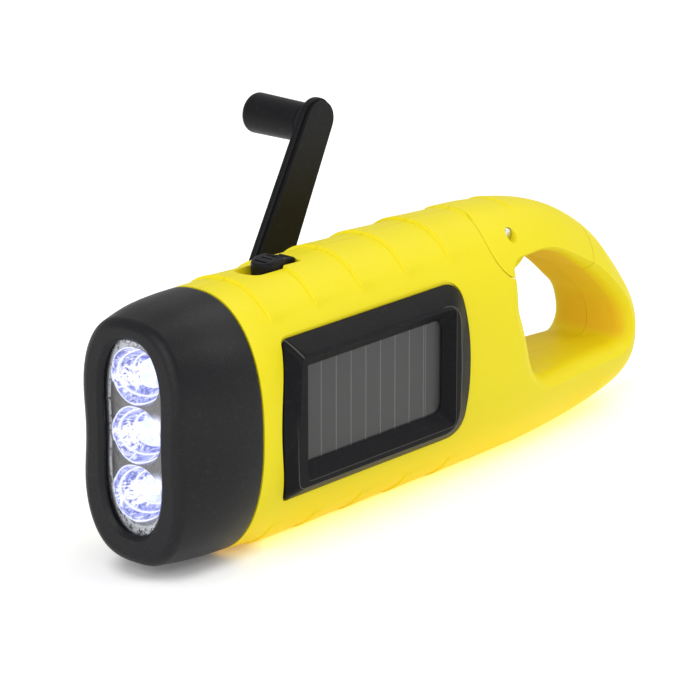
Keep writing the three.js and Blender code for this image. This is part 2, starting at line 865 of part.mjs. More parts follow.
function makeButton() {
  const stemFront = buttonFrontY + stemSetback;
  const side = prism([
    { y: buttonFrontY - seatGap, z: buttonBottomZ },
    { y: buttonFrontY + buttonLength + seatGap, z: buttonBottomZ },
    { y: buttonFrontY + buttonLength + seatGap, z: buttonRearZ },
    { y: buttonFrontY + buttonPadLength, z: buttonTopZ },
    { y: buttonFrontY - seatGap, z: buttonFrontZ },
  ], -buttonHalfWidth - seatGap, buttonHalfWidth + seatGap);
  const plan = buttonPlan();
  let solid = side.intersect(planLoft(plan, plan, buttonBottomZ - seatGap, buttonTopZ + seatGap));
  for (let k = 0; k < buttonGrooveCount; k += 1) {
    const y = buttonFrontY + buttonGrooveStart + k * buttonGroovePitch;
    const surface = THREE.MathUtils.lerp(buttonFrontZ, buttonTopZ, (y - buttonFrontY) / buttonPadLength);
    const half = buttonGrooveHalfLength;
    const floor = surface - buttonGroove;
    solid = solid.subtract(box(-half, half, y, y + buttonGrooveWidth, floor, buttonTopZ + overrun));
  }
  const stemBottom = boardTopZ + switchHeight + seatGap;
  const stemTop = buttonBottomZ + seatGap;
  const stemRear = stemFront + stemLength;
  solid = solid.add(box(-stemHalfWidth, stemHalfWidth, stemFront, stemRear, stemBottom, stemTop));
  const socketY = stemFront + (stemLength - leverLength) / 2 - runningGap;
  const socketHalf = leverHalfWidth + runningGap;
  return solid.subtract(box(
    -socketHalf,
    socketHalf,
    socketY,
    socketY + leverLength + 2 * runningGap,
    stemBottom - overrun,
    stemBottom + leverSocketDepth + runningGap,
  ));
}

function makeLever() {
  const centre = buttonFrontY + stemSetback + stemLength / 2;
  const bottom = boardTopZ + switchHeight + runningGap;
  const top = boardTopZ + switchHeight + leverSocketDepth;
  const half = leverLength / 2;
  return box(-leverHalfWidth, leverHalfWidth, centre - half, centre + half, bottom, top);
}

function makeSlideSwitch() {
  const centre = buttonFrontY + stemSetback + stemLength / 2 - buttonTravel / 2;
  return box(
    -switchHalfWidth,
    switchHalfWidth,
    centre - switchLength / 2,
    centre + switchLength / 2,
    boardTopZ + runningGap,
    boardTopZ + switchHeight,
  );
}

// Gear train places, worked out from the hub and the tooth counts.
function meshedAt(from, teethA, teethB, lean) {
  return polar(from.y, from.z, (gearModule * (teethA + teethB)) / 2, lean);
}

const hubPlace = { y: hubY, z: hubZ };
const idlerPlace1 = meshedAt(hubPlace, driveTeeth, pinionTeeth, idlerLean);
const idlerPlace2 = meshedAt(idlerPlace1, idlerTeeth, pinionTeeth, secondIdlerLean);
const rotorPlace = meshedAt(idlerPlace2, idlerTeeth, pinionTeeth, rotorLean);
const layerPitch = gearThickness + gearLayerGap;
const layerX = [0, 1, 2].map((layer) => firstLayerX + layer * layerPitch);

// Outline of a spur gear; the flanks follow the involute at a few radii.
function gearOutline(teeth, phase, flankSteps) {
  const pitchRadius = (gearModule * teeth) / 2;
  const baseRadius = pitchRadius * Math.cos(radians(pressureAngle));
  const tipRadius = pitchRadius + gearModule * addendumShare;
  const rootRadius = pitchRadius - gearModule * dedendumShare;
  const involute = (radius) => {
    const angle = Math.acos(Math.min(1, baseRadius / radius));
    return Math.tan(angle) - angle;
  };
  const halfTooth = (radius) => (toothShare * Math.PI) / teeth + involute(pitchRadius) - involute(radius);
  const start = Math.max(baseRadius, rootRadius);
  const radii = [rootRadius];
  for (let k = 1; k <= flankSteps; k += 1) radii.push(start + ((tipRadius - start) * k) / flankSteps);
  const points = [];
  for (let tooth = 0; tooth < teeth; tooth += 1) {
    const middle = phase + (2 * Math.PI * tooth) / teeth;
    const place = (radius, side) => {
      const angle = middle + side * halfTooth(Math.max(radius, start));
      return { y: radius * Math.cos(angle), z: radius * Math.sin(angle) };
    };
    radii.forEach((radius) => points.push(place(radius, -1)));
    [...radii].reverse().forEach((radius) => points.push(place(radius, 1)));
  }
  return points;
}

// The turn that puts a gear in mesh with its driver.
function meshPhase(lean, driverTeeth, driverPhase, teeth) {
  const along = ((radians(lean) - driverPhase) * driverTeeth) / (2 * Math.PI);
  return radians(lean) + Math.PI - ((1 - 2 * along) * Math.PI) / teeth;
}

function gearAt(place, teeth, phase, layer, flankSteps) {
  const points = gearOutline(teeth, phase, flankSteps).map((p) => ({ y: p.y + place.y, z: p.z + place.z }));
  return prism(points, layerX[layer], layerX[layer] + gearThickness);
}

const idlerPinionPhase1 = meshPhase(idlerLean, driveTeeth, 0, pinionTeeth);
const idlerPinionPhase2 = meshPhase(secondIdlerLean, idlerTeeth, 0, pinionTeeth);
const rotorPinionPhase = meshPhase(rotorLean, idlerTeeth, 0, pinionTeeth);

// A hexagonal bar along X, for the hub's drive end and the gear's bore.
function hexBar(radius, x0, x1, y, z) {
  return rod(radius, x0, x1, y, z, hexFacets);
}

function makeDriveGear() {
  const boreEnd = layerX[0] + gearThickness + overrun;
  const bore = hexBar(hubHexRadius + runningGap, layerX[0] - overrun, boreEnd, hubY, hubZ);
  return gearAt(hubPlace, driveTeeth, 0, 0, coarseFlank).subtract(bore);
}

function makeIdler(place, layer, pinionPhase) {
  const pinionRoot = gearModule * (pinionTeeth / 2 - dedendumShare);
  const start = layerX[layer];
  const end = layerX[layer + 1] + gearThickness;
  const sleeve = rod(pinionRoot, start, end, place.y, place.z, smallFacets);
  const bore = rod(pinRadius + runningGap, start - overrun, end + overrun, place.y, place.z, smallFacets);
  return gearAt(place, pinionTeeth, pinionPhase, layer, fineFlank)
    .add(gearAt(place, idlerTeeth, 0, layer + 1, coarseFlank))
    .add(sleeve)
    .subtract(bore);
}

const wallBossX = firstLayerX - seatGap;

function makeIdlerPin(place) {
  return rod(pinRadius, wallBossX - pinDepth, plateX + plateThickness, place.y, place.z, smallFacets);
}

const postPlaces = postShares.map(placeAtShares);
const plateCorners = [
  { y: hubY - plateBorder, z: postPlaces[0].z - plateBorder },
  { y: postPlaces[2].y + plateBorder, z: postPlaces[2].z - plateBorder + wall },
  { y: rotorPlace.y + plateBorder, z: rotorPlace.z - plateBorder },
  { y: rotorPlace.y + plateBorder, z: rotorPlace.z + plateBorder },
  { y: idlerPlace1.y + plateBorder, z: idlerPlace2.z + plateBorder },
  { y: idlerPlace1.y + plateBorder, z: idlerPlace1.z + plateBorder },
  { y: postPlaces[1].y + plateBorder, z: postPlaces[1].z + plateBorder - wall },
  { y: hubY - plateBorder, z: postPlaces[1].z + plateBorder - wall },
];

function makeGearboxPlate() {
  let plate = prism(plateCorners, plateX, plateX + plateThickness);
  const from = plateX - overrun;
  const to = plateX + overrun;
  const through = (radius, place) => rod(radius, from, to, place.y, place.z, smallFacets);
  plate = plate.subtract(through(pinRadius + runningGap, idlerPlace1));
  plate = plate.subtract(through(pinRadius + runningGap, idlerPlace2));
  plate = plate.subtract(through(shaftRadius + runningGap, rotorPlace));
  postPlaces.forEach((place) => {
    plate = plate.subtract(through(screwRadius + runningGap, place));
  });
  return plate;
}

// A pan head screw along X; its head faces the given side.
function makeScrew(headX, length, place, side) {
  const tip = headX - side * length;
  const headTop = headX + side * screwHeadHeight;
  const neck = (headX + headTop) / 2;
  const shaft = rod(screwRadius, Math.min(neck, tip), Math.max(neck, tip), place.y, place.z, tinyFacets);
  const headFrom = Math.min(headX, headTop);
  const headTo = Math.max(headX, headTop);
  const head = rod(screwHeadRadius, headFrom, headTo, place.y, place.z, smallFacets);
  const slotFrom = side > 0 ? headTop - screwSlot : headTop - overrun;
  const slot = box(
    slotFrom,
    slotFrom + overrun + screwSlot,
    place.y - screwHeadRadius - overrun,
    place.y + screwHeadRadius + overrun,
    place.z - screwSlot / 2,
    place.z + screwSlot / 2,
  );
  return shaft.add(head).subtract(slot);
}

// Crank hub, drawn with its axis on X through the origin and the arm towards +Y.
const hubBaseX = hubFloorX - seatGap;
const channelFloorX = hubBaseX - hubBaseThickness;

function makeHub() {
  const rim = stopStart + stopWidth;
  const earLift = bodyHalfWidth + 2 * seatGap;
  let solid = rod(hubRadius, hubTopX, hubBaseX);
  solid = solid.add(box(hubTopX, -earLift, 0, rim, -hubRadius + wall, hubRadius - wall));
  const knuckleRoom = knuckleRadius + seatGap;
  solid = solid.subtract(box(
    hubTopX - overrun,
    channelFloorX,
    -hubRadius - overrun,
    stopStart,
    -channelHalfWidth,
    channelHalfWidth,
  ));
  solid = solid.add(rod(hubShaftRadius, hubBaseX - seatGap, layerX[0] - runningGap));
  solid = solid.add(hexBar(hubHexRadius, layerX[0] - seatGap, layerX[0] + gearThickness - runningGap, 0, 0));
  solid = solid.subtract(foldBar(foldPinRadius + runningGap, hubRadius + overrun));
  solid = solid.subtract(foldBar(knuckleRoom, channelHalfWidth));
  const screwHole = rod(screwRadius + runningGap, hubBaseX - wall, layerX[0] + overrun, 0, 0, tinyFacets);
  return solid.subtract(screwHole);
}

// A round bar along the fold axis.
function foldBar(radius, halfLength) {
  const geometry = new THREE.CylinderGeometry(radius, radius, 2 * halfLength, middleFacets);
  geometry.rotateX(Math.PI / 2);
  geometry.translate(foldPinX, foldPinOffset, 0);
  return solidOf(geometry);
}

function armOutline(inset) {
  const tipY = foldPinOffset + armReach + armOverhang;
  const base = armBaseHalfWidth - inset;
  const start = { y: foldPinOffset, z: -base };
  const end = { y: foldPinOffset, z: base };
  return [start, ...arc(tipY, 0, armTipRadius - inset, -quarterTurn, quarterTurn, armTipSteps), end];
}

function makeArm() {
  const outer = armInnerX - armThickness;
  const stepX = armInnerX - armLipDepth;
  const tipY = foldPinOffset + armReach;
  let solid = prism(armOutline(0), outer, stepX);
  solid = solid.add(prism(armOutline(armLip), stepX - runningGap, armInnerX));
  solid = solid.add(foldBar(knuckleRadius, armBaseHalfWidth));
  solid = solid.subtract(box(
    armInnerX,
    channelFloorX,
    foldPinOffset + knuckleRadius,
    tipY,
    -armBaseHalfWidth - overrun,
    armBaseHalfWidth + overrun,
  ));
  solid = solid.add(rod(knobCollarRadius, outer - knobCollar, outer + runningGap, tipY, 0));
  solid = solid.subtract(foldBar(foldPinRadius + runningGap, armBaseHalfWidth + overrun));
  return solid.subtract(rod(
    knobPinRadius + runningGap,
    outer - knobCollar - overrun,
    outer + knobPinSeat,
    tipY,
    0,
    smallFacets,
  ));
}

const armOuterX = armInnerX - armThickness;
const knobStartX = armOuterX - knobCollar - runningGap;
const knobEndX = armOuterX - knobLength;

function makeKnob() {
  const length = knobStartX - knobEndX;
  const profile = [new THREE.Vector2(0, knobPinReach + seatGap)];
  profile.push(new THREE.Vector2(knobPinRadius + runningGap, knobPinReach + seatGap));
  profile.push(new THREE.Vector2(knobPinRadius + runningGap, 0));
  profile.push(new THREE.Vector2(knobRadius, 0));
  const endRadius = knobRadius + knobFlare;
  for (let k = 0; k <= knobRoundSteps; k += 1) {
    const angle = (Math.PI / 2) * (k / knobRoundSteps);
    profile.push(new THREE.Vector2(
      endRadius - knobRound + knobRound * Math.cos(angle),
      length - knobRound + knobRound * Math.sin(angle),
    ));
  }
  profile.push(new THREE.Vector2(0, length));
  const geometry = new THREE.LatheGeometry(profile, roundFacets);
  geometry.rotateZ(Math.PI / 2);
  geometry.translate(knobStartX, foldPinOffset + armReach, 0);
  return facingOut(indexed(geometry));
}

// How far the body reaches sideways at a place and height.
function skinHalfWidth(y, z) {
  const size = bodyAt(y);
  const upward = Math.min(1, Math.abs(z - size.centre) / size.halfHeight);
  return size.halfWidth * (1 - upward ** sectionRoundness) ** (1 / sectionRoundness);
}

// The loop hole: flat in its middle and flared by a fillet to both sides.
function loopCutter() {
  const corners = loopCornerShares.map(([along, upward, radius]) => ({
    ...placeAtShares([along, upward]),
    radius: radius * bodyHeight,
  }));
  const outline = rounded(corners);
  const widths = outline.map((point) => skinHalfWidth(point.y, point.z));
  const fillets = outline.map((point) => {
    const gateShare = THREE.MathUtils.smoothstep(point.z, filletLowZ, filletHighZ);
    return THREE.MathUtils.lerp(loopFillet, gateFillet, gateShare);
  });
  const ringAt = (share, beyond, side) => {
    const rise = 1 - Math.sqrt(1 - share * share);
    const spread = widened(outline, 1);
    return outline.map((point, k) => new THREE.Vector3(
      side * (widths[k] - fillets[k] * (1 - share) + beyond),
      THREE.MathUtils.lerp(point.y, spread[k].y, fillets[k] * rise),
      THREE.MathUtils.lerp(point.z, spread[k].z, fillets[k] * rise),
    ));
  };
  const rings = [ringAt(1, overrun, -1)];
  [...loopRimShares].reverse().forEach((share) => rings.push(ringAt(share, 0, -1)));
  loopRimShares.forEach((share) => rings.push(ringAt(share, 0, 1)));
  rings.push(ringAt(1, overrun, 1));
  return loft(rings);
}

// Outline of the gate: upright front edge, knuckle arc, loop side and the arc of its free end.
function gateOutline(grow) {
  const knuckle = gateKnuckleRadius + grow;
  const reach = gateReach + grow;
  const above = bodyHeight + overrun;
  const brow = polar(gatePinY, gatePinZ, knuckle, gateBrowLean);
  return [
    { y: brow.y, z: above },
    ...arc(gatePinY, gatePinZ, knuckle, gateBrowLean - 2 * halfTurn, gateHeelLean, gateArcSteps),
    ...arc(gatePinY, gatePinZ, reach, gateHeelLean, gateEndLean, gateEndSteps),
    { y: gatePinY + reach, z: above + overrun },
  ];
}

const gateBlock = prism(gateOutline(0), -bodyHalfWidth - overrun, bodyHalfWidth + overrun);
const gateRoom = prism(gateOutline(gateClearance), -bodyHalfWidth - overrun, bodyHalfWidth + overrun);
const loopHole = loopCutter();

// A round bar along the gate's pin.
function pinBar(radius, halfLength, facets = roundFacets) {
  return rod(radius, -halfLength, halfLength, gatePinY, gatePinZ, facets);
}

// The gate has two cheeks under a thin roof, with room for the tongue between them.
function makeGate() {
  const slotHalf = tongueHalfWidth + gateClearance;
  const slotRadius = tongueRadius + seatGap;
  const slot = box(
    -slotHalf,
    slotHalf,
    gatePinY - bodyHalfWidth,
    gatePinY,
    gatePinZ - bodyHalfWidth,
    gatePinZ + tongueHalfHeight + seatGap,
  );
  return bodySkin.intersect(gateBlock)
    .subtract(loopHole)
    .add(bodySkin.intersect(pinBar(gateKnuckleRadius, gateDiscHalfWidth)))
    .subtract(pinBar(slotRadius, slotHalf))
    .subtract(slot)
    .subtract(pinBar(gatePinRadius + runningGap, bodyHalfWidth, smallFacets));
}

// The tongue of the body that the gate's two cheeks straddle.
function makeTongue() {
  const root = box(
    -tongueHalfWidth,
    tongueHalfWidth,
    gatePinY - gateKnuckleRadius - gateClearance - wall,
    gatePinY,
    gatePinZ - tongueHalfHeight,
    gatePinZ + tongueHalfHeight,
  );
  return bodySkin.intersect(root.add(pinBar(tongueRadius, tongueHalfWidth)))
    .subtract(pinBar(gatePinRadius + runningGap, bodyHalfWidth, smallFacets))
    .subtract(pinBar(springNotchRadius, springHalfLength + seatGap, smallFacets));
}

// Screws that hold the two shells together.
const caseScrewPlaces = caseScrewShares.map((shares, k) => ({
  ...placeAtShares(shares),
  length: k < bossedScrews ? caseScrewLength : tailScrewLength,
}));

function caseScrewHeadX(place) {
  return -skinHalfWidth(place.y, place.z) + caseScrewHeadDepth;
}

// Material left standing inside the hollow of both shells.
function sharedBosses() {
  const housing = gateKnuckleRadius + gateClearance + wall;
  const solids = [buttonWell(wall), rod(housing, -bodyHalfWidth, bodyHalfWidth, gatePinY, gatePinZ)];
  caseScrewPlaces.slice(0, bossedScrews).forEach((place) => {
    solids.push(rod(screwBossRadius, -bodyHalfWidth, bodyHalfWidth, place.y, place.z, smallFacets));
  });
  const cradleRoom = cellRadius + cellGap + sleeveWall + seatGap;
  [-1, 1].forEach((side) => {
    const near = side * cradleInnerX;
    const far = side * bodyHalfWidth;
    const block = box(
      Math.min(near, far),
      Math.max(near, far),
      cellY - cradleHalfLength,
      cellY + cradleHalfLength,
      0,
      cellZ - cellRadius / 2,
    );
    solids.push(block.subtract(rod(cradleRoom, -bodyHalfWidth, bodyHalfWidth, cellY, cellZ, smallFacets)));
    [boardFrontY + boardThickness, boardFrontY + boardLength - 2 * boardThickness].forEach((railY) => {
      const railInner = side * (boardHalfWidth - boardThickness);
      solids.push(box(
        Math.min(railInner, far),
        Math.max(railInner, far),
        railY,
        railY + boardThickness,
        boardTopZ - 2 * boardThickness - seatGap,
        boardTopZ - boardThickness - seatGap,
      ));
    });
  });
  return solids;
}

function leftBosses() {
  const solids = [
    rod(hubRecessRadius + wall, -bodyHalfWidth, hubFloorX + wall, hubY, hubZ),
    box(
      -bodyHalfWidth,
      armSlotFloorX + wall,
      hubY,
      knobStowY,
      hubZ - armSlotHalfWidth - wall,
      hubZ + armSlotHalfWidth + wall,
    ),
    rod(knobPocketRadius + pocketWall, -bodyHalfWidth, overrun, knobStowY, hubZ),
    rod(pinBossRadius, -bodyHalfWidth, layerX[2] - seatGap, rotorPlace.y, rotorPlace.z, smallFacets),
  ];
  [idlerPlace1, idlerPlace2].forEach((place) => {
    solids.push(rod(pinBossRadius, -bodyHalfWidth, wallBossX, place.y, place.z, smallFacets));
  });
  postPlaces.forEach((place) => {
    solids.push(rod(postRadius, -bodyHalfWidth, plateX - seatGap, place.y, place.z, smallFacets));
  });
  return solids;
}

function rightBosses() {
  const canRear = canX + canLength;
  const pocket = prism(frameOutline(wall), frameBaseX - seatGap - frameFloor, bodyHalfWidth + overrun);
  const seat = ring(
    canRadius - seatGap,
    canRadius - wall - seatGap,
    canRear + seatGap,
    bodyHalfWidth,
    rotorPlace.y,
    rotorPlace.z,
  );
  return [pocket, seat];
}

function shellCuts() {
  const cuts = [
    buttonWell(0),
    box(
      -stemHalfWidth - seatGap,
      stemHalfWidth + seatGap,
      buttonFrontY + stemSetback - buttonTravel - runningGap,
      buttonFrontY + stemSetback + stemLength + seatGap,
      boardTopZ,
      bodyHeight,
    ),
    loopHole,
    gateRoom,
    pinBar(gateKnuckleRadius + gateClearance, 2 * bodyHalfWidth),
    box(-bodyLength, bodyLength, -bodyLength, bodyLength, -bodyHeight, 0),
  ];
  caseScrewPlaces.forEach((place) => {
    const headX = caseScrewHeadX(place);
    const tipX = headX + place.length + runningGap;
    const headHole = screwHeadRadius + seatGap;
    cuts.push(rod(headHole, -2 * bodyHalfWidth, headX + runningGap, place.y, place.z, smallFacets));
    cuts.push(rod(screwRadius + runningGap, headX, tipX, place.y, place.z, tinyFacets));
  });
  return cuts;
}

function leftCuts() {
  const outside = -2 * bodyHalfWidth;
  const hole = (radius, from, to, place) => rod(radius, from, to, place.y, place.z, smallFacets);
  const cuts = [
    rod(hubRecessRadius, outside, hubFloorX, hubY, hubZ),
    box(outside, armSlotFloorX, hubY, knobStowY, hubZ - armSlotHalfWidth, hubZ + armSlotHalfWidth),
    rod(knobPocketRadius, outside, knobPocketFloorX, knobStowY, hubZ),
    rod(armSlotHalfWidth, outside, armSlotFloorX, knobStowY, hubZ),
    rod(hubShaftRadius + runningGap, hubFloorX - overrun, hubFloorX + wall + overrun, hubY, hubZ),
    hole(shaftRadius + runningGap, layerX[2] - overrun - seatGap, layerX[2], rotorPlace),
  ];
  [idlerPlace1, idlerPlace2].forEach((place) => {
    cuts.push(hole(pinRadius + runningGap, wallBossX - pinDepth - seatGap, plateX, place));
  });
  postPlaces.forEach((place) => {
    cuts.push(hole(screwRadius + runningGap, plateX - gearboxScrewLength - seatGap, plateX, place));
  });
  return cuts;
}

function joined(solids) {
  return solids.reduce((whole, solid) => whole.add(solid));
}

// Both shells are cut from one hollow body, so that they match at the parting plane.
function makeShell(side) {
  const bosses = joined([...sharedBosses(), ...(side < 0 ? leftBosses() : rightBosses())]);
  const hollow = cavity.subtract(bosses);
  let solid = bodySkin.subtract(hollow).add(neckOuter.add(neckRoot).subtract(neckInner));
  shellCuts().forEach((cut) => {
    solid = solid.subtract(cut);
  });
  solid = solid.add(makeTongue());
  const reach = 2 * bodyHalfWidth;
  const half = side < 0 ? box(-reach, 0, -bodyLength, bodyLength, -bodyHeight, 2 * bodyHeight)
    : box(0, reach, -bodyLength, bodyLength, -bodyHeight, 2 * bodyHeight);
  const tab = box(-wall, lapTabHalfWidth, -lapTabHalfLength, lapTabHalfLength, 0, wall - seatGap);
  const tabRoom = box(
    -wall,
    lapTabHalfWidth + seatGap,
    -lapTabHalfLength - seatGap,
    lapTabHalfLength + seatGap,
    -overrun,
    wall,
  );
  if (side > 0) {
    solid = solid.intersect(half).subtract(prism(frameOutline(seatGap), frameBaseX - seatGap, reach));
    [-1, 1].forEach((turn) => {
      const holeY = solarWireY + (turn * wireSpread) / 2;
      solid = solid.subtract(rod(wireHoleRadius, 0, reach, holeY, solarWireZ, tinyFacets));
    });
    return solid.subtract(tabRoom);
  }
  solid = solid.intersect(half).add(tab);
  leftCuts().forEach((cut) => {
    solid = solid.subtract(cut);
  });
  return solid;
}

// A round insulated wire along a smooth route.
function makeWire(points, steps = wireSteps) {
  const curve = new THREE.CatmullRomCurve3(points.map((point) => new THREE.Vector3(...point)));
  const outline = new THREE.Shape();
  outline.absarc(0, 0, wireRadius, 0, 2 * Math.PI);
  const circle = new THREE.Shape(outline.getPoints(wireFacets / 2).slice(0, wireFacets));
  const geometry = new THREE.ExtrudeGeometry(circle, { steps, extrudePath: curve, bevelEnabled: false });
  return facingOut(indexed(geometry));
}

addPiece('left_shell', makeShell(-1), yellowPlastic);
addPiece('right_shell', makeShell(1), yellowPlastic);
addPiece('gate', makeGate(), yellowPlastic);
addPiece('gate_pin', pinBar(gatePinRadius, gatePinHalfLength, smallFacets), brightSteel);
addPiece('gate_spring', pinBar(springRadius, springHalfLength, smallFacets)
  .subtract(pinBar(springBore, bodyHalfWidth, smallFacets)), brightSteel);
addPiece('head_bezel', makeBezel(), blackPlastic);
addPiece('lens_window', windowSlab(lensLip, lensY, lensY + lensThickness), clearPlastic);
addPiece('reflector', makeReflector(), chromePlate);
ledPlaces.forEach((z, k) => addPiece(`led_${k + 1}`, makeLed(z), ledEpoxy));
addPiece('led_board', makeLedBoard(), boardGreen);
addPiece('solar_frame', makeSolarFrame(), blackPlastic);
addPiece('solar_panel', prism(panelOutline(0), frameBaseX, frameBaseX + panelThickness), solarGlass);

addPiece('switch_button', makeButton(), blackPlastic);
addPiece('switch_lever', makeLever(), whiteNylon);
addPiece('slide_switch', makeSlideSwitch(), brightSteel);
addPiece('main_board', box(
  -boardHalfWidth,
  boardHalfWidth,
  boardFrontY,
  boardFrontY + boardLength,
  boardTopZ - boardThickness,
  boardTopZ,
), boardGreen);

const crank = new THREE.Group();
crank.position.set(0, hubY, hubZ);
crank.rotation.x = radians(crankLean);
torch.add(crank);
addPiece('crank_hub', makeHub(), blackPlastic, crank);
addPiece('fold_pin', foldBar(foldPinRadius, hubRadius - wall), brightSteel, crank);
addPiece('crank_arm', makeArm(), blackPlastic, crank);
addPiece('knob_pin', rod(
  knobPinRadius,
  knobStartX - knobPinReach,
  armOuterX + knobPinSeat - runningGap,
  foldPinOffset + armReach,
  0,
  smallFacets,
), brightSteel, crank);
addPiece('crank_knob', makeKnob(), blackPlastic, crank);

addPiece('drive_gear', makeDriveGear(), whiteNylon);
const washerX = layerX[0] + gearThickness + runningGap;
const hubScrewX = washerX + washerThickness + runningGap;
addPiece('hub_washer', ring(
  washerRadius,
  screwRadius + runningGap,
  washerX,
  washerX + washerThickness,
  hubY,
  hubZ,
  smallFacets,
), brightSteel);
addPiece('hub_screw', makeScrew(hubScrewX, hubScrewLength, hubPlace, 1), brightSteel);
addPiece('idler_gear_1', makeIdler(idlerPlace1, 0, idlerPinionPhase1), whiteNylon);
addPiece('idler_gear_2', makeIdler(idlerPlace2, 1, idlerPinionPhase2), whiteNylon);
addPiece('idler_pin_1', makeIdlerPin(idlerPlace1), brightSteel);
addPiece('idler_pin_2', makeIdlerPin(idlerPlace2), brightSteel);
addPiece('gearbox_plate', makeGearboxPlate(), brightSteel);
postPlaces.forEach((place, k) => {
  const headX = plateX + plateThickness + runningGap;
  addPiece(`gearbox_screw_${k + 1}`, makeScrew(headX, gearboxScrewLength, place, 1), brightSteel);
});
caseScrewPlaces.forEach((place, k) => {
  addPiece(`case_screw_${k + 1}`, makeScrew(caseScrewHeadX(place), place.length, place, -1), brightSteel);
});

const rotorEndX = canX + canLength + canWall;
const throughShaft = shaftRadius + runningGap;
addPiece('rotor_shaft', rod(
  shaftRadius,
  layerX[2] - overrun,
  rotorEndX,
  rotorPlace.y,
  rotorPlace.z,
  smallFacets,
), brightSteel);
addPiece('rotor_pinion', gearAt(rotorPlace, pinionTeeth, rotorPinionPhase, 2, fineFlank).subtract(rod(
  throughShaft,
  layerX[2] - overrun,
  layerX[2] + overrun,
  rotorPlace.y,
  rotorPlace.z,
  smallFacets,
)), whiteNylon);
addPiece('rotor_magnet', ring(
  magnetRadius,
  throughShaft,
  magnetX,
  magnetX + magnetLength,
  rotorPlace.y,
  rotorPlace.z,
  roundFacets,
), darkMagnet);

// A steel can, open towards the gears, with a bearing hole in its back.
function makeStatorCan() {
  const rear = canX + canLength;
  return rod(canRadius, canX, rear, rotorPlace.y, rotorPlace.z)
    .subtract(rod(canRadius - canWall, canX - overrun, rear - canWall, rotorPlace.y, rotorPlace.z))
    .subtract(rod(throughShaft, canX, rear + overrun, rotorPlace.y, rotorPlace.z, smallFacets));
}

// A spool with two flanges round the magnet.
function makeBobbin() {
  const front = canX;
  const rear = canX + canLength - canWall - runningGap;
  const flange = canRadius - canWall - runningGap;
  const groove = ring(
    flange + overrun,
    bobbinRadius + bobbinWall,
    front + bobbinWall,
    rear - bobbinWall,
    rotorPlace.y,
    rotorPlace.z,
  );
  return ring(flange, bobbinRadius, front, rear, rotorPlace.y, rotorPlace.z).subtract(groove);
}

addPiece('stator_can', makeStatorCan(), brightSteel);
addPiece('coil_bobbin', makeBobbin(), whiteNylon);
addPiece('coil_winding', ring(
  windingRadius,
  bobbinRadius + bobbinWall + runningGap,
  canX + bobbinWall + runningGap,
  canX + canLength - canWall - bobbinWall - 2 * runningGap,
  rotorPlace.y,
  rotorPlace.z,
), copperWire);

// Three button cells in a sleeve, with a contact tab at each end.
const stackLength = cellCount * cellLength + (cellCount - 1) * cellGap;
for (let k = 0; k < cellCount; k += 1) {
  const start = -stackLength / 2 + k * (cellLength + cellGap);
  addPiece(`cell_${k + 1}`, rod(cellRadius, start, start + cellLength, cellY, cellZ), brightSteel);
}
addPiece('cell_sleeve', ring(
  cellRadius + cellGap + sleeveWall,
  cellRadius + cellGap,
  -stackLength / 2,
  stackLength / 2,
  cellY,
  cellZ,
), greenSleeve);
['left', 'right'].forEach((name, k) => {
  const side = k === 0 ? -1 : 1;
  const inner = side * (stackLength / 2 + cellGap);
  const outer = inner + side * tabThickness;
  addPiece(`cell_tab_${name}`, box(
    Math.min(inner, outer),
    Math.max(inner, outer),
    cellY - tabWidth / 2,
    cellY + tabWidth / 2,
    cellZ - cellRadius / 2,
    cellZ + cellRadius,
  ), brightSteel);
});

// Parts on the main board.
const underBoardZ = boardTopZ - boardThickness - runningGap;
addPiece('rectifier', box(
  -rectifierHalfWidth,
  rectifierHalfWidth,
  boardFrontY + partGap,
  boardFrontY + partGap + rectifierLength,
  underBoardZ - rectifierHeight,
  underBoardZ,
), blackPlastic);
addPiece('capacitor', rod(
  capacitorRadius,
  -capacitorLength / 2,
  capacitorLength / 2,
  boardFrontY + rectifierLength + capacitorRadius + 2 * partGap,
  underBoardZ - capacitorRadius,
  smallFacets,
), darkMagnet);

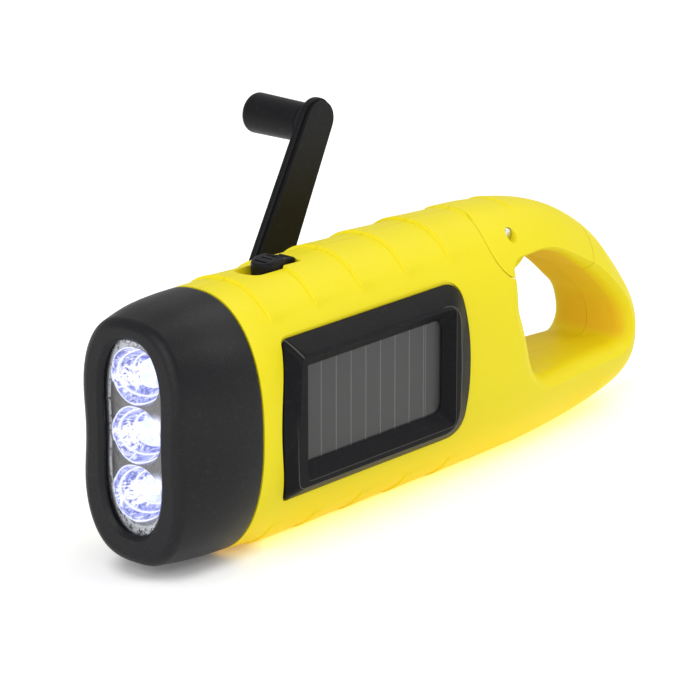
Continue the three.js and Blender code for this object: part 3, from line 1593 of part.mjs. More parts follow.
// Wires, as pairs: LED board, cells, solar panel and coil, all to the main board.
const boardMiddleZ = boardTopZ - boardThickness / 2;
const boardRearY = boardFrontY + boardLength;
const ledBoardRearY = ledBoardY + ledBoardThickness;
const cellTopZ = cellZ + cellRadius + seatGap;
const tabX = stackLength / 2 + cellGap + tabThickness / 2;
const windowTopZ = windowCentreZ + windowHalfHeight / 2;
const wirePairs = [
  ['led_wire', (side) => [
    [side * wireSpread, ledBoardRearY + seatGap, windowTopZ],
    [side * wireSpread, ledBoardRearY + wireSpread, windowTopZ + wireSpread / 2],
    [side * wireSpread, boardFrontY - wireSpread, boardMiddleZ - wireSpread / 2],
    [side * wireSpread, boardFrontY - seatGap, boardMiddleZ],
  ]],
  ['cell_wire', (side) => [
    [side * (tabX + tabThickness), cellY, cellTopZ],
    [side * (tabX + tabThickness), cellY, cellTopZ + wireSpread],
    [side * (tabX - wireSpread / 2), cellY, boardTopZ - 2 * wireSpread],
    [side * (tabX - wireSpread), cellY, boardTopZ - boardThickness - seatGap],
  ]],
  ['solar_wire', (side) => [
    [frameBaseX - seatGap, solarWireY + side * wireSpread / 2, solarWireZ],
    [frameBaseX - frameFloor - wireSpread / 3, solarWireY + side * wireSpread / 2, solarWireZ],
    [boardHalfWidth, solarWireY + side * wireSpread / 2, solarWireZ + wireSpread],
    [boardHalfWidth - wireRadius, solarWireY + side * wireSpread / 2, boardTopZ - boardThickness - seatGap],
  ]],
  ['coil_wire', (side) => [
    [
      -wireRadius,
      rotorPlace.y - wireSpread + side * wireRadius * 2,
      rotorPlace.z + bobbinRadius + wireRadius,
    ],
    [-wireRadius, idlerPlace1.y + side * wireRadius * 2, idlerPlace1.z],
    [(1 + side) * wireRadius, hubY / 2, boardMiddleZ - wireSpread + side * wireRadius * 2],
    [(1 + 2 * side) * wireRadius, boardRearY + seatGap, boardMiddleZ],
  ]],
];
wirePairs.forEach(([name, route]) => {
  addPiece(`${name}_red`, makeWire(route(1)), redWire);
  addPiece(`${name}_black`, makeWire(route(-1)), blackWire);
});

export default torch;
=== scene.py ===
# %% [markdown]
# # A hand crank torch, finished over its working model
#
# The working model holds every part at its real size, and the joints that move them. This
# notebook gives the torch its looks. Each new piece lies exactly where the working model says.
# Blender counts in metres, so the small sizes of a torch are awkward to read. The pieces are
# therefore shaped in millimetres, and each one is shrunk to metres when it is finished.

# %% Load the working model
import json
import math

import bpy
import numpy as np
from mathutils import Matrix, Vector


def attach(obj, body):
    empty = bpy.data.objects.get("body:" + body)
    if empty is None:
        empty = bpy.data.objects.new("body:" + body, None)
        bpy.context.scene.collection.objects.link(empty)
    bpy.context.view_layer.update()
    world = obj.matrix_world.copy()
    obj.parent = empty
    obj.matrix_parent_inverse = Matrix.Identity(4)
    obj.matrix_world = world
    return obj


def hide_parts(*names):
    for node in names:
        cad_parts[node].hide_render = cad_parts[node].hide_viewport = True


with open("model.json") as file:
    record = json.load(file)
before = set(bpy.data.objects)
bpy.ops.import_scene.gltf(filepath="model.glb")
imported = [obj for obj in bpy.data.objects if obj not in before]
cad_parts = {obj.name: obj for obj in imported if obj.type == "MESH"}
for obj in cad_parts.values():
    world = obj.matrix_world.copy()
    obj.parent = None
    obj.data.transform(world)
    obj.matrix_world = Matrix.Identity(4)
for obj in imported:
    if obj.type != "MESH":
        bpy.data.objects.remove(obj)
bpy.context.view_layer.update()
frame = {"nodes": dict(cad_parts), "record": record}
MM = 0.001

# %% [markdown]
# ## The camera
#
# The photograph was taken from the front, on the solar panel's side and a little above the torch,
# with a long lens. A long lens far away keeps the sides nearly parallel, which is why the body
# hardly tapers in the picture. The angle, the distance and the lens were fitted to its outline.

# %% Camera
CAMERA_AZIMUTH = math.radians(41.0)
CAMERA_ELEVATION = math.radians(17.61)
CAMERA_DISTANCE = 0.6873
CAMERA_TARGET = Vector((0.0, -0.01059, 0.02688))
CAMERA_LENS = 196.9
SENSOR_WIDTH = 36.0

back = Vector((
    math.sin(CAMERA_AZIMUTH) * math.cos(CAMERA_ELEVATION),
    -math.cos(CAMERA_AZIMUTH) * math.cos(CAMERA_ELEVATION),
    math.sin(CAMERA_ELEVATION),
))
camera_data = bpy.data.cameras.new("camera")
camera_data.lens = CAMERA_LENS
camera_data.sensor_width = SENSOR_WIDTH
camera_data.clip_start = CAMERA_DISTANCE / 10
camera_data.clip_end = CAMERA_DISTANCE * 100
camera = bpy.data.objects.new("camera", camera_data)
bpy.context.scene.collection.objects.link(camera)
camera.rotation_mode = "QUATERNION"
camera.location = CAMERA_TARGET + back * CAMERA_DISTANCE
camera.rotation_quaternion = (-back).to_track_quat("-Z", "Y")
bpy.context.scene.camera = camera
print("camera at", [round(c, 3) for c in camera.location])

# %% [markdown]
# ## Modelling helpers
#
# Three ways of making a shape are used again and again:
#
# - **Rolling a sheet.** The body is a tube whose section changes all the way along. A grid of faces
#   is added, its rows are laid on rings of points, and the two long edges are welded together. Each
#   ring is worked out by a formula, so the skin is as smooth as the formula. Turned pieces, such as
#   bars and knobs, are tubes of round rings.
# - **Drawing an outline and extruding it.** Plates and blocks start as a filled circle whose corners
#   are moved onto an outline, and the face is then extruded.
# - **Joining and cutting** with the Boolean modifier, for openings and recesses.

# %% Select, roll, extrude
WELD = 0.0005


def only(piece):
    """Deselects everything, then selects and activates one piece."""
    bpy.ops.object.select_all(action="DESELECT")
    piece.hide_set(False)
    piece.select_set(True)
    bpy.context.view_layer.objects.active = piece
    return piece


def rolled(name, rings, closed_rows=False):
    """Rolls a grid into a tube, with one row for each ring of points, and closes its ends."""
    rows = [np.vstack([ring, ring[:1]]) for ring in rings]
    if closed_rows:
        rows.append(rows[0])
    bpy.ops.object.select_all(action="DESELECT")
    bpy.ops.mesh.primitive_grid_add(
        x_subdivisions=len(rows[0]) - 1, y_subdivisions=len(rows) - 1, size=1
    )
    sheet = bpy.context.object
    sheet.name = name
    sheet.data.vertices.foreach_set("co", np.vstack(rows).astype(float).ravel())
    only(sheet)
    bpy.ops.object.mode_set(mode="EDIT")
    bpy.ops.mesh.select_all(action="SELECT")
    bpy.ops.mesh.remove_doubles(threshold=WELD)
    bpy.ops.mesh.normals_make_consistent(inside=False)
    bpy.ops.mesh.fill_holes(sides=0)
    bpy.ops.mesh.select_all(action="SELECT")
    bpy.ops.mesh.normals_make_consistent(inside=False)
    bpy.ops.object.mode_set(mode="OBJECT")
    return sheet


def extruded(name, outline, along):
    """A filled outline of 3D points, extruded along a vector."""
    bpy.ops.object.select_all(action="DESELECT")
    bpy.ops.mesh.primitive_circle_add(vertices=len(outline), fill_type="NGON")
    piece = bpy.context.object
    piece.name = name
    piece.data.vertices.foreach_set("co", np.array(outline, float).ravel())
    bpy.ops.object.mode_set(mode="EDIT")
    bpy.ops.mesh.select_all(action="SELECT")
    bpy.ops.mesh.extrude_region_move(TRANSFORM_OT_translate={"value": tuple(along)})
    bpy.ops.mesh.select_all(action="SELECT")
    bpy.ops.mesh.normals_make_consistent(inside=False)
    bpy.ops.object.mode_set(mode="OBJECT")
    return piece


# %% Plates, blocks, bars and turned pieces
ROUND = 64
FINE_ROUND = 96
ACROSS, ALONG, UPRIGHT = range(3)


def side_plate(name, outline, x0, x1):
    """An outline of (y, z) points, extruded across the torch."""
    return extruded(name, [(x0, y, z) for y, z in outline], (x1 - x0, 0, 0))


def block(name, x0, x1, y0, y1, z0, z1):
    outline = [(x0, y0, z0), (x1, y0, z0), (x1, y1, z0), (x0, y1, z0)]
    return extruded(name, outline, (0, 0, z1 - z0))


def turned(name, profile, centre, axis=ACROSS, facets=ROUND):
    """A piece turned round an axis, from a profile of (place along the axis, radius) pairs."""
    angles = 2 * np.pi * np.arange(facets) / facets
    first, second = [other for other in range(3) if other != axis]
    rings = np.empty((len(profile), facets, 3))
    for ring, (place, radius) in zip(rings, profile):
        ring[:, axis] = place
        ring[:, first] = centre[0] + radius * np.cos(angles)
        ring[:, second] = centre[1] + radius * np.sin(angles)
    return rolled(name, rings)


def bar(name, radius, x0, x1, y, z, facets=ROUND):
    """A round bar across the torch."""
    return turned(name, [(x0, radius), (x1, radius)], (y, z), facets=facets)


# %% Join, cut, bevel and finish
SMOOTH_ANGLE = math.radians(32)
BEVEL_ANGLE = math.radians(35)


def combine(piece, others, operation):
    """Joins, cuts or intersects a piece with others, which are used up."""
    for other in others:
        only(piece)
        bpy.ops.object.modifier_add(type="BOOLEAN")
        modifier = piece.modifiers[-1]
        modifier.operation = operation
        modifier.solver = "MANIFOLD"
        modifier.object = other
        bpy.ops.object.modifier_apply(modifier=modifier.name)
        bpy.data.objects.remove(other)
    return piece


def cut(piece, *others):
    return combine(piece, others, "DIFFERENCE")


def joined(piece, *others):
    return combine(piece, others, "UNION")


def common(piece, *others):
    return combine(piece, others, "INTERSECT")


def copied(piece, name):
    twin = piece.copy()
    twin.data = piece.data.copy()
    twin.name = name
    bpy.context.scene.collection.objects.link(twin)
    return twin


def bevelled(piece, width, segments=3, angle=BEVEL_ANGLE):
    """Rounds the edges that are sharper than an angle."""
    only(piece)
    bpy.ops.object.modifier_add(type="BEVEL")
    modifier = piece.modifiers[-1]
    modifier.width = width
    modifier.segments = segments
    modifier.limit_method = "ANGLE"
    modifier.angle_limit = angle
    modifier.use_clamp_overlap = True
    bpy.ops.object.modifier_apply(modifier=modifier.name)
    return piece


def finished(piece, name, body, slot, *nodes, smooth=SMOOTH_ANGLE, turn=None):
    """Shades a piece, shrinks it to metres and hands it to its body."""
    piece.name = name
    piece.data.name = name
    if turn is not None:
        piece.data.transform(turn)
    piece.data.transform(Matrix.Scale(MM, 4))
    only(piece)
    bpy.ops.object.shade_smooth_by_angle(angle=smooth)
    bpy.ops.object.modifier_add(type="WEIGHTED_NORMAL")
    modifier = piece.modifiers[-1]
    modifier.keep_sharp = True
    bpy.ops.object.modifier_apply(modifier=modifier.name)
    piece.data.materials.clear()
    piece.data.materials.append(finishes[slot])
    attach(piece, body)
    if nodes:
        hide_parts(*nodes)
    size = [round(d / MM, 1) for d in piece.dimensions]
    print(f"{name}: {len(piece.data.polygons)} faces, {size} mm")
    return piece


# %% [markdown]
# ## Finishes
#
# Every finish is a set of shader nodes, so it has no picture in it and never blurs. Sums on masks are
# written as plain Python: a small class wraps the end of a node, and each operator adds a Math node.
# The patterns read Object coordinates. Each piece sits at the origin in metres, so the pattern on it
# has a true size: a grain of half a millimetre is a noise of scale 2000.

# %% Sums on shader sockets
class Wire:
    """The output of a node, which takes part in sums."""

    def __init__(self, recipe, socket):
        self.recipe = recipe
        self.socket = socket

    def __add__(self, other):
        return self.recipe.math("ADD", self, other)

    def __sub__(self, other):
        return self.recipe.math("SUBTRACT", self, other)

    def __mul__(self, other):
        return self.recipe.math("MULTIPLY", self, other)

    def __truediv__(self, other):
        return self.recipe.math("DIVIDE", self, other)

    def __rsub__(self, other):
        return self.recipe.math("SUBTRACT", other, self)

    __radd__ = __add__
    __rmul__ = __mul__

    def power(self, exponent):
        return self.recipe.math("POWER", self, exponent)

    def absolute(self):
        return self.recipe.math("ABSOLUTE", self)

    def rounded(self):
        return self.recipe.math("ROUND", self)

    def at_least(self, other):
        return self.recipe.math("MAXIMUM", self, other)

    def at_most(self, other):
        return self.recipe.math("MINIMUM", self, other)

    def above(self, edge, softness):
        """0 below the edge, 1 above it, with a soft step between."""
        limits = {"Value": self, "From Min": edge - softness, "From Max": edge + softness}
        return self.recipe.node("ShaderNodeMapRange", {"interpolation_type": "SMOOTHSTEP"}, limits)


# %% One material
def colour(value):
    return value if isinstance(value, Wire) else (*value, 1.0)


class Recipe:
    """The nodes of one material, around a Principled shader."""

    def __init__(self, name, **uniform):
        self.material = bpy.data.materials.new(name)
        self.material.use_nodes = True
        self.tree = self.material.node_tree
        self.tree.nodes.clear()
        self.output = self.tree.nodes.new("ShaderNodeOutputMaterial")
        self.shader = self.tree.nodes.new("ShaderNodeBsdfPrincipled")
        self.show(Wire(self, self.shader.outputs[0]))
        for socket, value in uniform.items():
            self.shader.inputs[socket.replace("_", " ")].default_value = value
        self.place = self.node("ShaderNodeTexCoord", {}, {}, "Object")

    def node(self, kind, settings, sockets, out=0):
        """Adds a node: its settings first, then the values or links of its sockets."""
        made = self.tree.nodes.new(kind)
        for key, value in settings.items():
            setattr(made, key, value)
        for key, value in sockets.items():
            if isinstance(value, Wire):
                self.tree.links.new(value.socket, made.inputs[key])
            else:
                made.inputs[key].default_value = value
        return Wire(self, made.outputs[out])

    def math(self, operation, *values):
        return self.node("ShaderNodeMath", {"operation": operation}, dict(enumerate(values)))

    def vector(self, operation, *values, out=0):
        return self.node("ShaderNodeVectorMath", {"operation": operation}, dict(enumerate(values)), out)

    def noise(self, scale, detail=2.0, roughness=0.5, swirl=0.0, place=None):
        return self.node("ShaderNodeTexNoise", {}, {
            "Vector": place or self.place, "Scale": scale, "Detail": detail,
            "Roughness": roughness, "Distortion": swirl,
        })

    def stretched(self, x=1.0, y=1.0, z=1.0):
        """The Object coordinates with each axis scaled."""
        return self.node("ShaderNodeMapping", {}, {"Vector": self.place, "Scale": (x, y, z)})

    def axes(self):
        """The x, y and z of each point, in millimetres."""
        split = self.node("ShaderNodeSeparateXYZ", {}, {"Vector": self.place})
        return [Wire(self, output) / MM for output in split.socket.node.outputs]

    def facing(self, way):
        """1 where the surface looks along a direction, 0 where it looks square to it."""
        normal = self.node("ShaderNodeTexCoord", {}, {}, "Normal")
        return self.vector("DOT_PRODUCT", normal, way, out=1)

    def mixed(self, factor, a, b):
        """A colour between two colours."""
        settings = {"data_type": "RGBA"}
        return self.node("ShaderNodeMix", settings, {0: factor, 6: colour(a), 7: colour(b)}, 2)

    def bump(self, height, distance, strength):
        sockets = {"Height": height, "Distance": distance, "Strength": strength}
        return self.node("ShaderNodeBump", {}, sockets)

    def feed(self, **wires):
        """Links wires to the Principled shader's sockets."""
        for socket, wire in wires.items():
            self.tree.links.new(wire.socket, self.shader.inputs[socket.replace("_", " ")])

    def show(self, surface):
        """Links a shader to the material's output."""
        self.tree.links.new(surface.socket, self.output.inputs["Surface"])


# %% [markdown]
# The yellow plastic is moulded, with a satin skin. A very fine grain breaks up its highlights, and a
# slow change of tone keeps large areas from looking flat. Light that bounces about in the tail's loop
# turns orange, so its far wall, which looks towards the head, is warmer. The underside glows a little
# for the same reason: it faces white paper that the body itself colours.

# %% Yellow plastic
FINE_GRAIN = 2600.0
SLOW_TONE = 45.0
SMUDGE_GRAIN = 160.0
YELLOW = (0.895, 0.775, 0.012)
YELLOW_DEEP = (0.875, 0.735, 0.010)
YELLOW_WARM = (0.87, 0.50, 0.030)
WARM_SHARE = 0.75
WARM_DULLNESS = 0.45
LOOP_MIDDLE = (0.0, 40.0, 26.0)
LOOP_WARM_REACH, LOOP_WARM_FADE = 27.0, 4.0
LOOP_WARM_WAY = (0.0, -0.95, -0.3)
DOWN = (0.0, 0.0, -1.0)
NO_LIGHT = (0.0, 0.0, 0.0)
BELLY_GLOW = (0.22, 0.10, 0.0)
BELLY_TOP_Z, BELLY_FADE = 10.0, 6.0


def yellow_plastic():
    recipe = Recipe("yellow_plastic", Specular_IOR_Level=0.2, Emission_Strength=1.0)
    tone = recipe.noise(SLOW_TONE, detail=3.0)
    grain = recipe.noise(FINE_GRAIN)
    smudge = recipe.noise(SMUDGE_GRAIN, detail=4.0, roughness=0.6).above(0.6, 0.12)
    to_loop = recipe.vector("SUBTRACT", [c * MM for c in LOOP_MIDDLE], recipe.place)
    distance = recipe.vector("LENGTH", to_loop, out=1) / MM
    inward = recipe.facing(recipe.vector("NORMALIZE", to_loop)).above(0.42, 0.4)
    forward = recipe.facing(LOOP_WARM_WAY).above(0.45, 0.5)
    warm = inward * forward * (1.0 - distance.above(LOOP_WARM_REACH, LOOP_WARM_FADE))
    height = recipe.axes()[2]
    belly = recipe.facing(DOWN).above(0.45, 0.4) * (1.0 - height.above(BELLY_TOP_Z, BELLY_FADE))
    plain = recipe.mixed(tone, YELLOW_DEEP, YELLOW)
    recipe.feed(
        Base_Color=recipe.mixed(warm * WARM_SHARE, plain, YELLOW_WARM),
        Roughness=0.44 + 0.08 * grain + 0.07 * smudge + WARM_DULLNESS * warm,
        Emission_Color=recipe.mixed(belly, NO_LIGHT, BELLY_GLOW),
        Normal=recipe.bump(grain, distance=0.00003, strength=0.5),
    )
    return recipe.material


# %% [markdown]
# The same finish in black sparkles more: the tool for the head was etched, so each tiny pit catches the
# light. The pits are real bumps, and pale flecks in the colour are painted glints scattered over them.
# The solar frame's crest and the ridge of its upper front corner carry a painted highlight, a thin pale
# line where the rounded edge catches the light.

# %% Black plastics
ETCH_GRAIN = 3400.0
CLOUD_GRAIN = 120.0
WEAR_GRAIN = 700.0
GLINT_GRAIN = 4200.0
BLACK = (0.0075, 0.0075, 0.0090)
BLACK_WORN = (0.016, 0.016, 0.018)
BLACK_PAINTED_GLINT = (0.040, 0.040, 0.046)
BLACK_PAINTED_HIGHLIGHT = (0.085, 0.080, 0.068)
CREST_LINE_X, CREST_TOP_X = 16.46, 16.57
CREST_LOW_Z, CREST_REAR_Y = 20.0, -4.0
MITRE_PLACE = (-42.13, 38.53)
MITRE_NORMAL = (0.963, 0.270)
MITRE_HALF_WIDTH = 0.14
MITRE_REAR_Y, MITRE_BOTTOM_Z = -40.5, 36.2


def black_plastic(name, roughness, etch, sparkle, specular=0.13, edges=None):
    """Black plastic, with a pale painted highlight where a mask of edges is given."""
    recipe = Recipe(name, Specular_IOR_Level=specular)
    pits = recipe.noise(ETCH_GRAIN, detail=3.0, roughness=0.65)
    cloud = recipe.noise(CLOUD_GRAIN, detail=4.0, roughness=0.55)
    worn = recipe.noise(WEAR_GRAIN, detail=5.0, roughness=0.7).above(0.62, 0.08)
    # Pale flecks in the colour are painted glints; the pits' bump and smoother roughness are real.
    painted_glint = recipe.noise(GLINT_GRAIN, detail=1.0).above(0.68, 0.05) * sparkle * 4.0
    skin_colour = recipe.mixed(painted_glint, recipe.mixed(worn * 0.6, BLACK, BLACK_WORN), BLACK_PAINTED_GLINT)
    # Where a mask is given, a pale painted highlight is laid on the colour along those edges.
    if edges is not None:
        skin_colour = recipe.mixed(edges(recipe), skin_colour, BLACK_PAINTED_HIGHLIGHT)
    recipe.feed(
        Base_Color=skin_colour,
        Roughness=roughness + 0.1 * cloud - sparkle * pits.above(0.62, 0.1),
        Normal=recipe.bump(pits, distance=0.00006, strength=etch),
    )
    return recipe.material


def frame_painted_highlights(recipe):
    """Painted highlights: the frame's crest, behind and below, and the ridge of its upper front corner."""
    x, y, z = recipe.axes()
    crest = x.above(CREST_LINE_X, 0.03) * (1.0 - x.above(CREST_TOP_X, 0.02))
    low_or_rear = (1.0 - z.above(CREST_LOW_Z, 8.0)).at_least(y.above(CREST_REAR_Y, 1.0))
    from_mitre = (y - MITRE_PLACE[0]) * MITRE_NORMAL[0] + (z - MITRE_PLACE[1]) * MITRE_NORMAL[1]
    mitre = 1.0 - from_mitre.absolute().above(MITRE_HALF_WIDTH, 0.08)
    mitre = mitre * z.above(MITRE_BOTTOM_Z, 0.3) * (1.0 - y.above(MITRE_REAR_Y, 0.4))
    return (crest * low_or_rear * 0.8).at_least(mitre)


# %% [markdown]
# The inner parts show only when the torch is taken apart. One finish serves for all that is moulded or
# painted. Another serves for all that is metal, also for the screws and the gate's pin, and its noise
# is stretched along the way it was brushed.

# %% Plain mouldings and metals
def moulded(name, tint, roughness=0.45):
    recipe = Recipe(name)
    grain = recipe.noise(900.0, detail=4.0, roughness=0.6)
    recipe.feed(
        Base_Color=recipe.mixed(grain * 0.35, tint, [c * 0.7 for c in tint]),
        Roughness=roughness + 0.12 * grain,
        Normal=recipe.bump(grain, distance=0.00003, strength=0.4),
    )
    return recipe.material


def metal(name, tint, roughness, brushed=(1.0, 1.0, 1.0)):
    recipe = Recipe(name, Metallic=1.0)
    strokes = recipe.noise(900.0, detail=4.0, roughness=0.6, place=recipe.stretched(*brushed))
    recipe.feed(
        Base_Color=recipe.mixed(strokes, tint, [c * 0.86 for c in tint]),
        Roughness=roughness + 0.16 * strokes,
        Normal=recipe.bump(strokes, distance=0.00002, strength=0.3),
    )
    return recipe.material


# %% [markdown]
# The window is a thin clear sheet. A mix of a transparent and a mirror shader gives it its gloss
# without bending the light, so the cups behind stay crisp. It mirrors more where it is seen aslant.

# %% Clear window
def clear_window():
    recipe = Recipe("lens")
    facing = recipe.node("ShaderNodeLayerWeight", {}, {"Blend": 0.5}, "Facing")
    clear = recipe.node("ShaderNodeBsdfTransparent", {}, {"Color": (0.97, 0.98, 1.0, 1.0)})
    scratches = recipe.noise(300.0, detail=5.0, roughness=0.6, place=recipe.stretched(z=6.0))
    gloss = recipe.node("ShaderNodeBsdfGlossy", {}, {"Roughness": 0.02 + 0.03 * scratches})
    recipe.tree.nodes.remove(recipe.shader)
    mirrored = 0.04 + 0.9 * facing.power(5.0)
    recipe.show(recipe.node("ShaderNodeMixShader", {}, {0: mirrored, 1: clear, 2: gloss}))
    return recipe.material


# %% [markdown]
# The cups are chromed, and lit by the lamps in them. Round each lamp's axis the light lies in thin
# rings, with swirling white and lilac patches between them, and it is strongest where the lamp's base
# is seen. So the glow follows the distance from the nearest lamp's axis, and swirling noise. A thin
# bright line of painted light runs round the window's edge, so the plate is also told how near the
# window's edge it is. Between the cups the plate glows a faint brown, a painted reflection.

# %% Chromed cups
LILAC = (0.38, 0.43, 0.92)
LILAC_PALE = (0.66, 0.68, 1.0)
LILAC_DEEP = (0.12, 0.14, 0.46)
COOL_WHITE = (1.15, 1.15, 1.25)
PLATE_CHROME = (0.17, 0.16, 0.15)
CUP_CHROME = (0.06, 0.06, 0.11)
BETWEEN_CUPS_GLOW = (0.012, 0.010, 0.010)
CUP_EDGE_PAINTED_LIGHT = (0.42, 0.44, 0.46)
WINDOW_Z = 24.6
WINDOW_HALF_WIDTH, WINDOW_HALF_HEIGHT = 7.5, 17.3
WINDOW_WAIST = 0.9
WAIST_REACH = 8.5
WINDOW_ROUNDNESS = 2.6
LAMP_PITCH = 10.5
CUP_RADIUS = 5.15
CUP_RINGS = (5.0, 4.1, 3.1)
CUP_MIDDLE = (-0.9, 0.0)
CUP_POOL = (-2.9, -0.9)
LAMP_SPOT = (4.4, 2.7)


def distance_from(place, x, z):
    across, up = x - place[0], z - place[1]
    return (across * across + up * up).power(0.5)


def near(place, x, z, radius, softness):
    """1 within a radius of a place, and 0 outside it."""
    return 1.0 - distance_from(place, x, z).above(radius, softness)


def window_edge(x, z):
    """0 at the middle of the window, 1 at its edge, and on beyond it."""
    up = z - WINDOW_Z
    pinch = (1.0 + up * up / WAIST_REACH**2).power(-1.5)
    across = (x.absolute() + WINDOW_WAIST * pinch) / WINDOW_HALF_WIDTH
    return across.power(WINDOW_ROUNDNESS) + (up.absolute() / WINDOW_HALF_HEIGHT).power(WINDOW_ROUNDNESS)


def chrome_cups():
    recipe = Recipe("reflector_chrome", Metallic=1.0, Emission_Strength=1.0)
    x, _, z = recipe.axes()
    along = (z - WINDOW_Z) / LAMP_PITCH
    nearest = along.rounded().at_least(-1.0).at_most(1.0)
    height = (along - nearest) * LAMP_PITCH
    radius = distance_from(CUP_MIDDLE, x, height)
    cup = 1.0 - radius.above(CUP_RADIUS, 0.12)
    swirl = recipe.noise(420.0, detail=4.0, roughness=0.6, swirl=2.2)
    streaks = recipe.noise(1300.0, detail=3.0, swirl=1.2, place=recipe.stretched(y=0.3))
    pool = near(CUP_POOL, x, height, 2.0, 1.6)
    spot = near(LAMP_SPOT, x, height, 1.5, 1.1)
    light = (swirl * 0.55 + streaks * 0.45 + pool * 0.22).above(0.60, 0.06)
    for ring in CUP_RINGS:
        light = light.at_least(0.8 - (radius - ring).absolute().above(0.12, 0.08))
    light = light.at_least(spot)
    shade = recipe.mixed(swirl.above(0.47, 0.07), LILAC_DEEP, LILAC)
    shade = recipe.mixed(streaks.above(0.56, 0.06), shade, LILAC_PALE)
    edge = window_edge(x, z)
    edge_light = edge.above(0.80, 0.05) * (1.0 - edge.above(1.06, 0.08)) * streaks.above(0.44, 0.08)
    lit = recipe.mixed(light, shade, COOL_WHITE)
    # Painted light: a bright line round the window's edge, and a faint brown glow between the cups.
    between = recipe.mixed(edge_light, BETWEEN_CUPS_GLOW, CUP_EDGE_PAINTED_LIGHT)
    recipe.feed(
        Base_Color=recipe.mixed(cup, PLATE_CHROME, CUP_CHROME),
        Roughness=0.14 + 0.14 * streaks,
        Emission_Color=recipe.mixed(cup.at_least(spot), between, lit),
        Normal=recipe.bump(swirl, distance=0.0005, strength=0.5),
    )
    return recipe.material


# %% [markdown]
# A lamp that is lit is brightest at its base, where its chip sits, and lilac with pale veins in front.

# %% Lit lamp
LAMP_GLOW_Y, LAMP_GLOW_FADE = -58.6, 1.6
LAMP_TINT = (0.6, 0.62, 0.8)
LAMP_TINT_PALE = (0.75, 0.77, 0.92)


def lit_lamp():
    recipe = Recipe("led_lit", Emission_Strength=0.9, Roughness=0.08)
    core = recipe.noise(700.0, detail=3.0, roughness=0.6)
    base = recipe.axes()[1].above(LAMP_GLOW_Y, LAMP_GLOW_FADE)
    front = recipe.mixed(core.above(0.5, 0.06), LILAC, LILAC_PALE)
    recipe.feed(
        Base_Color=recipe.mixed(core, LAMP_TINT, LAMP_TINT_PALE),
        Emission_Color=recipe.mixed(base, front, COOL_WHITE),
    )
    return recipe.material


# %% [markdown]
# The solar panel is a sheet of grey glass over thin film. Nine pale lines run down it where one cell
# ends and the next begins, and the first and the last have a second line just outside them. They come
# from the Y coordinate: the distance to the nearest of nine evenly spaced lines.

# %% Solar panel
PANEL_LINES = 9
PANEL_LINE_PITCH = 3.93
PANEL_FIRST_LINE_Y = -38.2
PANEL_LINE_HALF_WIDTH, PANEL_BORDER_HALF_WIDTH = 0.12, 0.10
PANEL_BORDER_STEP = 0.55
PANEL_FILM = (0.040, 0.040, 0.041)
PANEL_FILM_PALE = (0.054, 0.054, 0.055)
PANEL_LINE = (0.15, 0.15, 0.155)


def solar_glass():
    recipe = Recipe("solar_panel", Specular_IOR_Level=0.3, Coat_Weight=0.15, Coat_Roughness=0.14)
    last = PANEL_LINES - 1.0
    along = (recipe.axes()[1] - PANEL_FIRST_LINE_Y) / PANEL_LINE_PITCH
    nearest = along.rounded().at_least(0.0).at_most(last)
    from_line = (along - nearest).absolute() * PANEL_LINE_PITCH
    from_border = (from_line - PANEL_BORDER_STEP).absolute()
    outside_lines = (along - last / 2).absolute().above(last / 2 + 0.05, 0.01)
    line = 1.0 - from_line.above(PANEL_LINE_HALF_WIDTH, 0.08)
    border = outside_lines * (1.0 - from_border.above(PANEL_BORDER_HALF_WIDTH, 0.06))
    cloud = recipe.noise(90.0, detail=4.0, roughness=0.6)
    speck = recipe.noise(FINE_GRAIN)
    film = recipe.mixed(cloud, PANEL_FILM, PANEL_FILM_PALE)
    recipe.feed(
        Base_Color=recipe.mixed(line * 0.75 + border * 0.6, film, PANEL_LINE),
        Roughness=0.3 + 0.1 * speck + 0.08 * cloud,
        Normal=recipe.bump(line + speck * 0.1, distance=0.00004, strength=0.4),
    )
    return recipe.material


# %% [markdown]
# A circuit board is green lacquer over copper tracks, which show through as a lighter green. A brick
# pattern with thin joints gives a net of straight tracks.

# %% Circuit board
BOARD_GREEN = (0.012, 0.12, 0.035)
TRACK_GREEN = (0.03, 0.2, 0.07)


def circuit_board():
    recipe = Recipe("board_green", Specular_IOR_Level=0.5)
    weave = recipe.noise(2200.0)
    bricks = {"Vector": recipe.place, "Scale": 260.0, "Mortar Size": 0.012}
    tracks = recipe.node("ShaderNodeTexBrick", {}, bricks, "Fac")
    recipe.feed(
        Base_Color=recipe.mixed(tracks, BOARD_GREEN, TRACK_GREEN),
        Roughness=0.35 + 0.15 * weave,
        Normal=recipe.bump(weave, distance=0.00003, strength=0.4),
    )
    return recipe.material


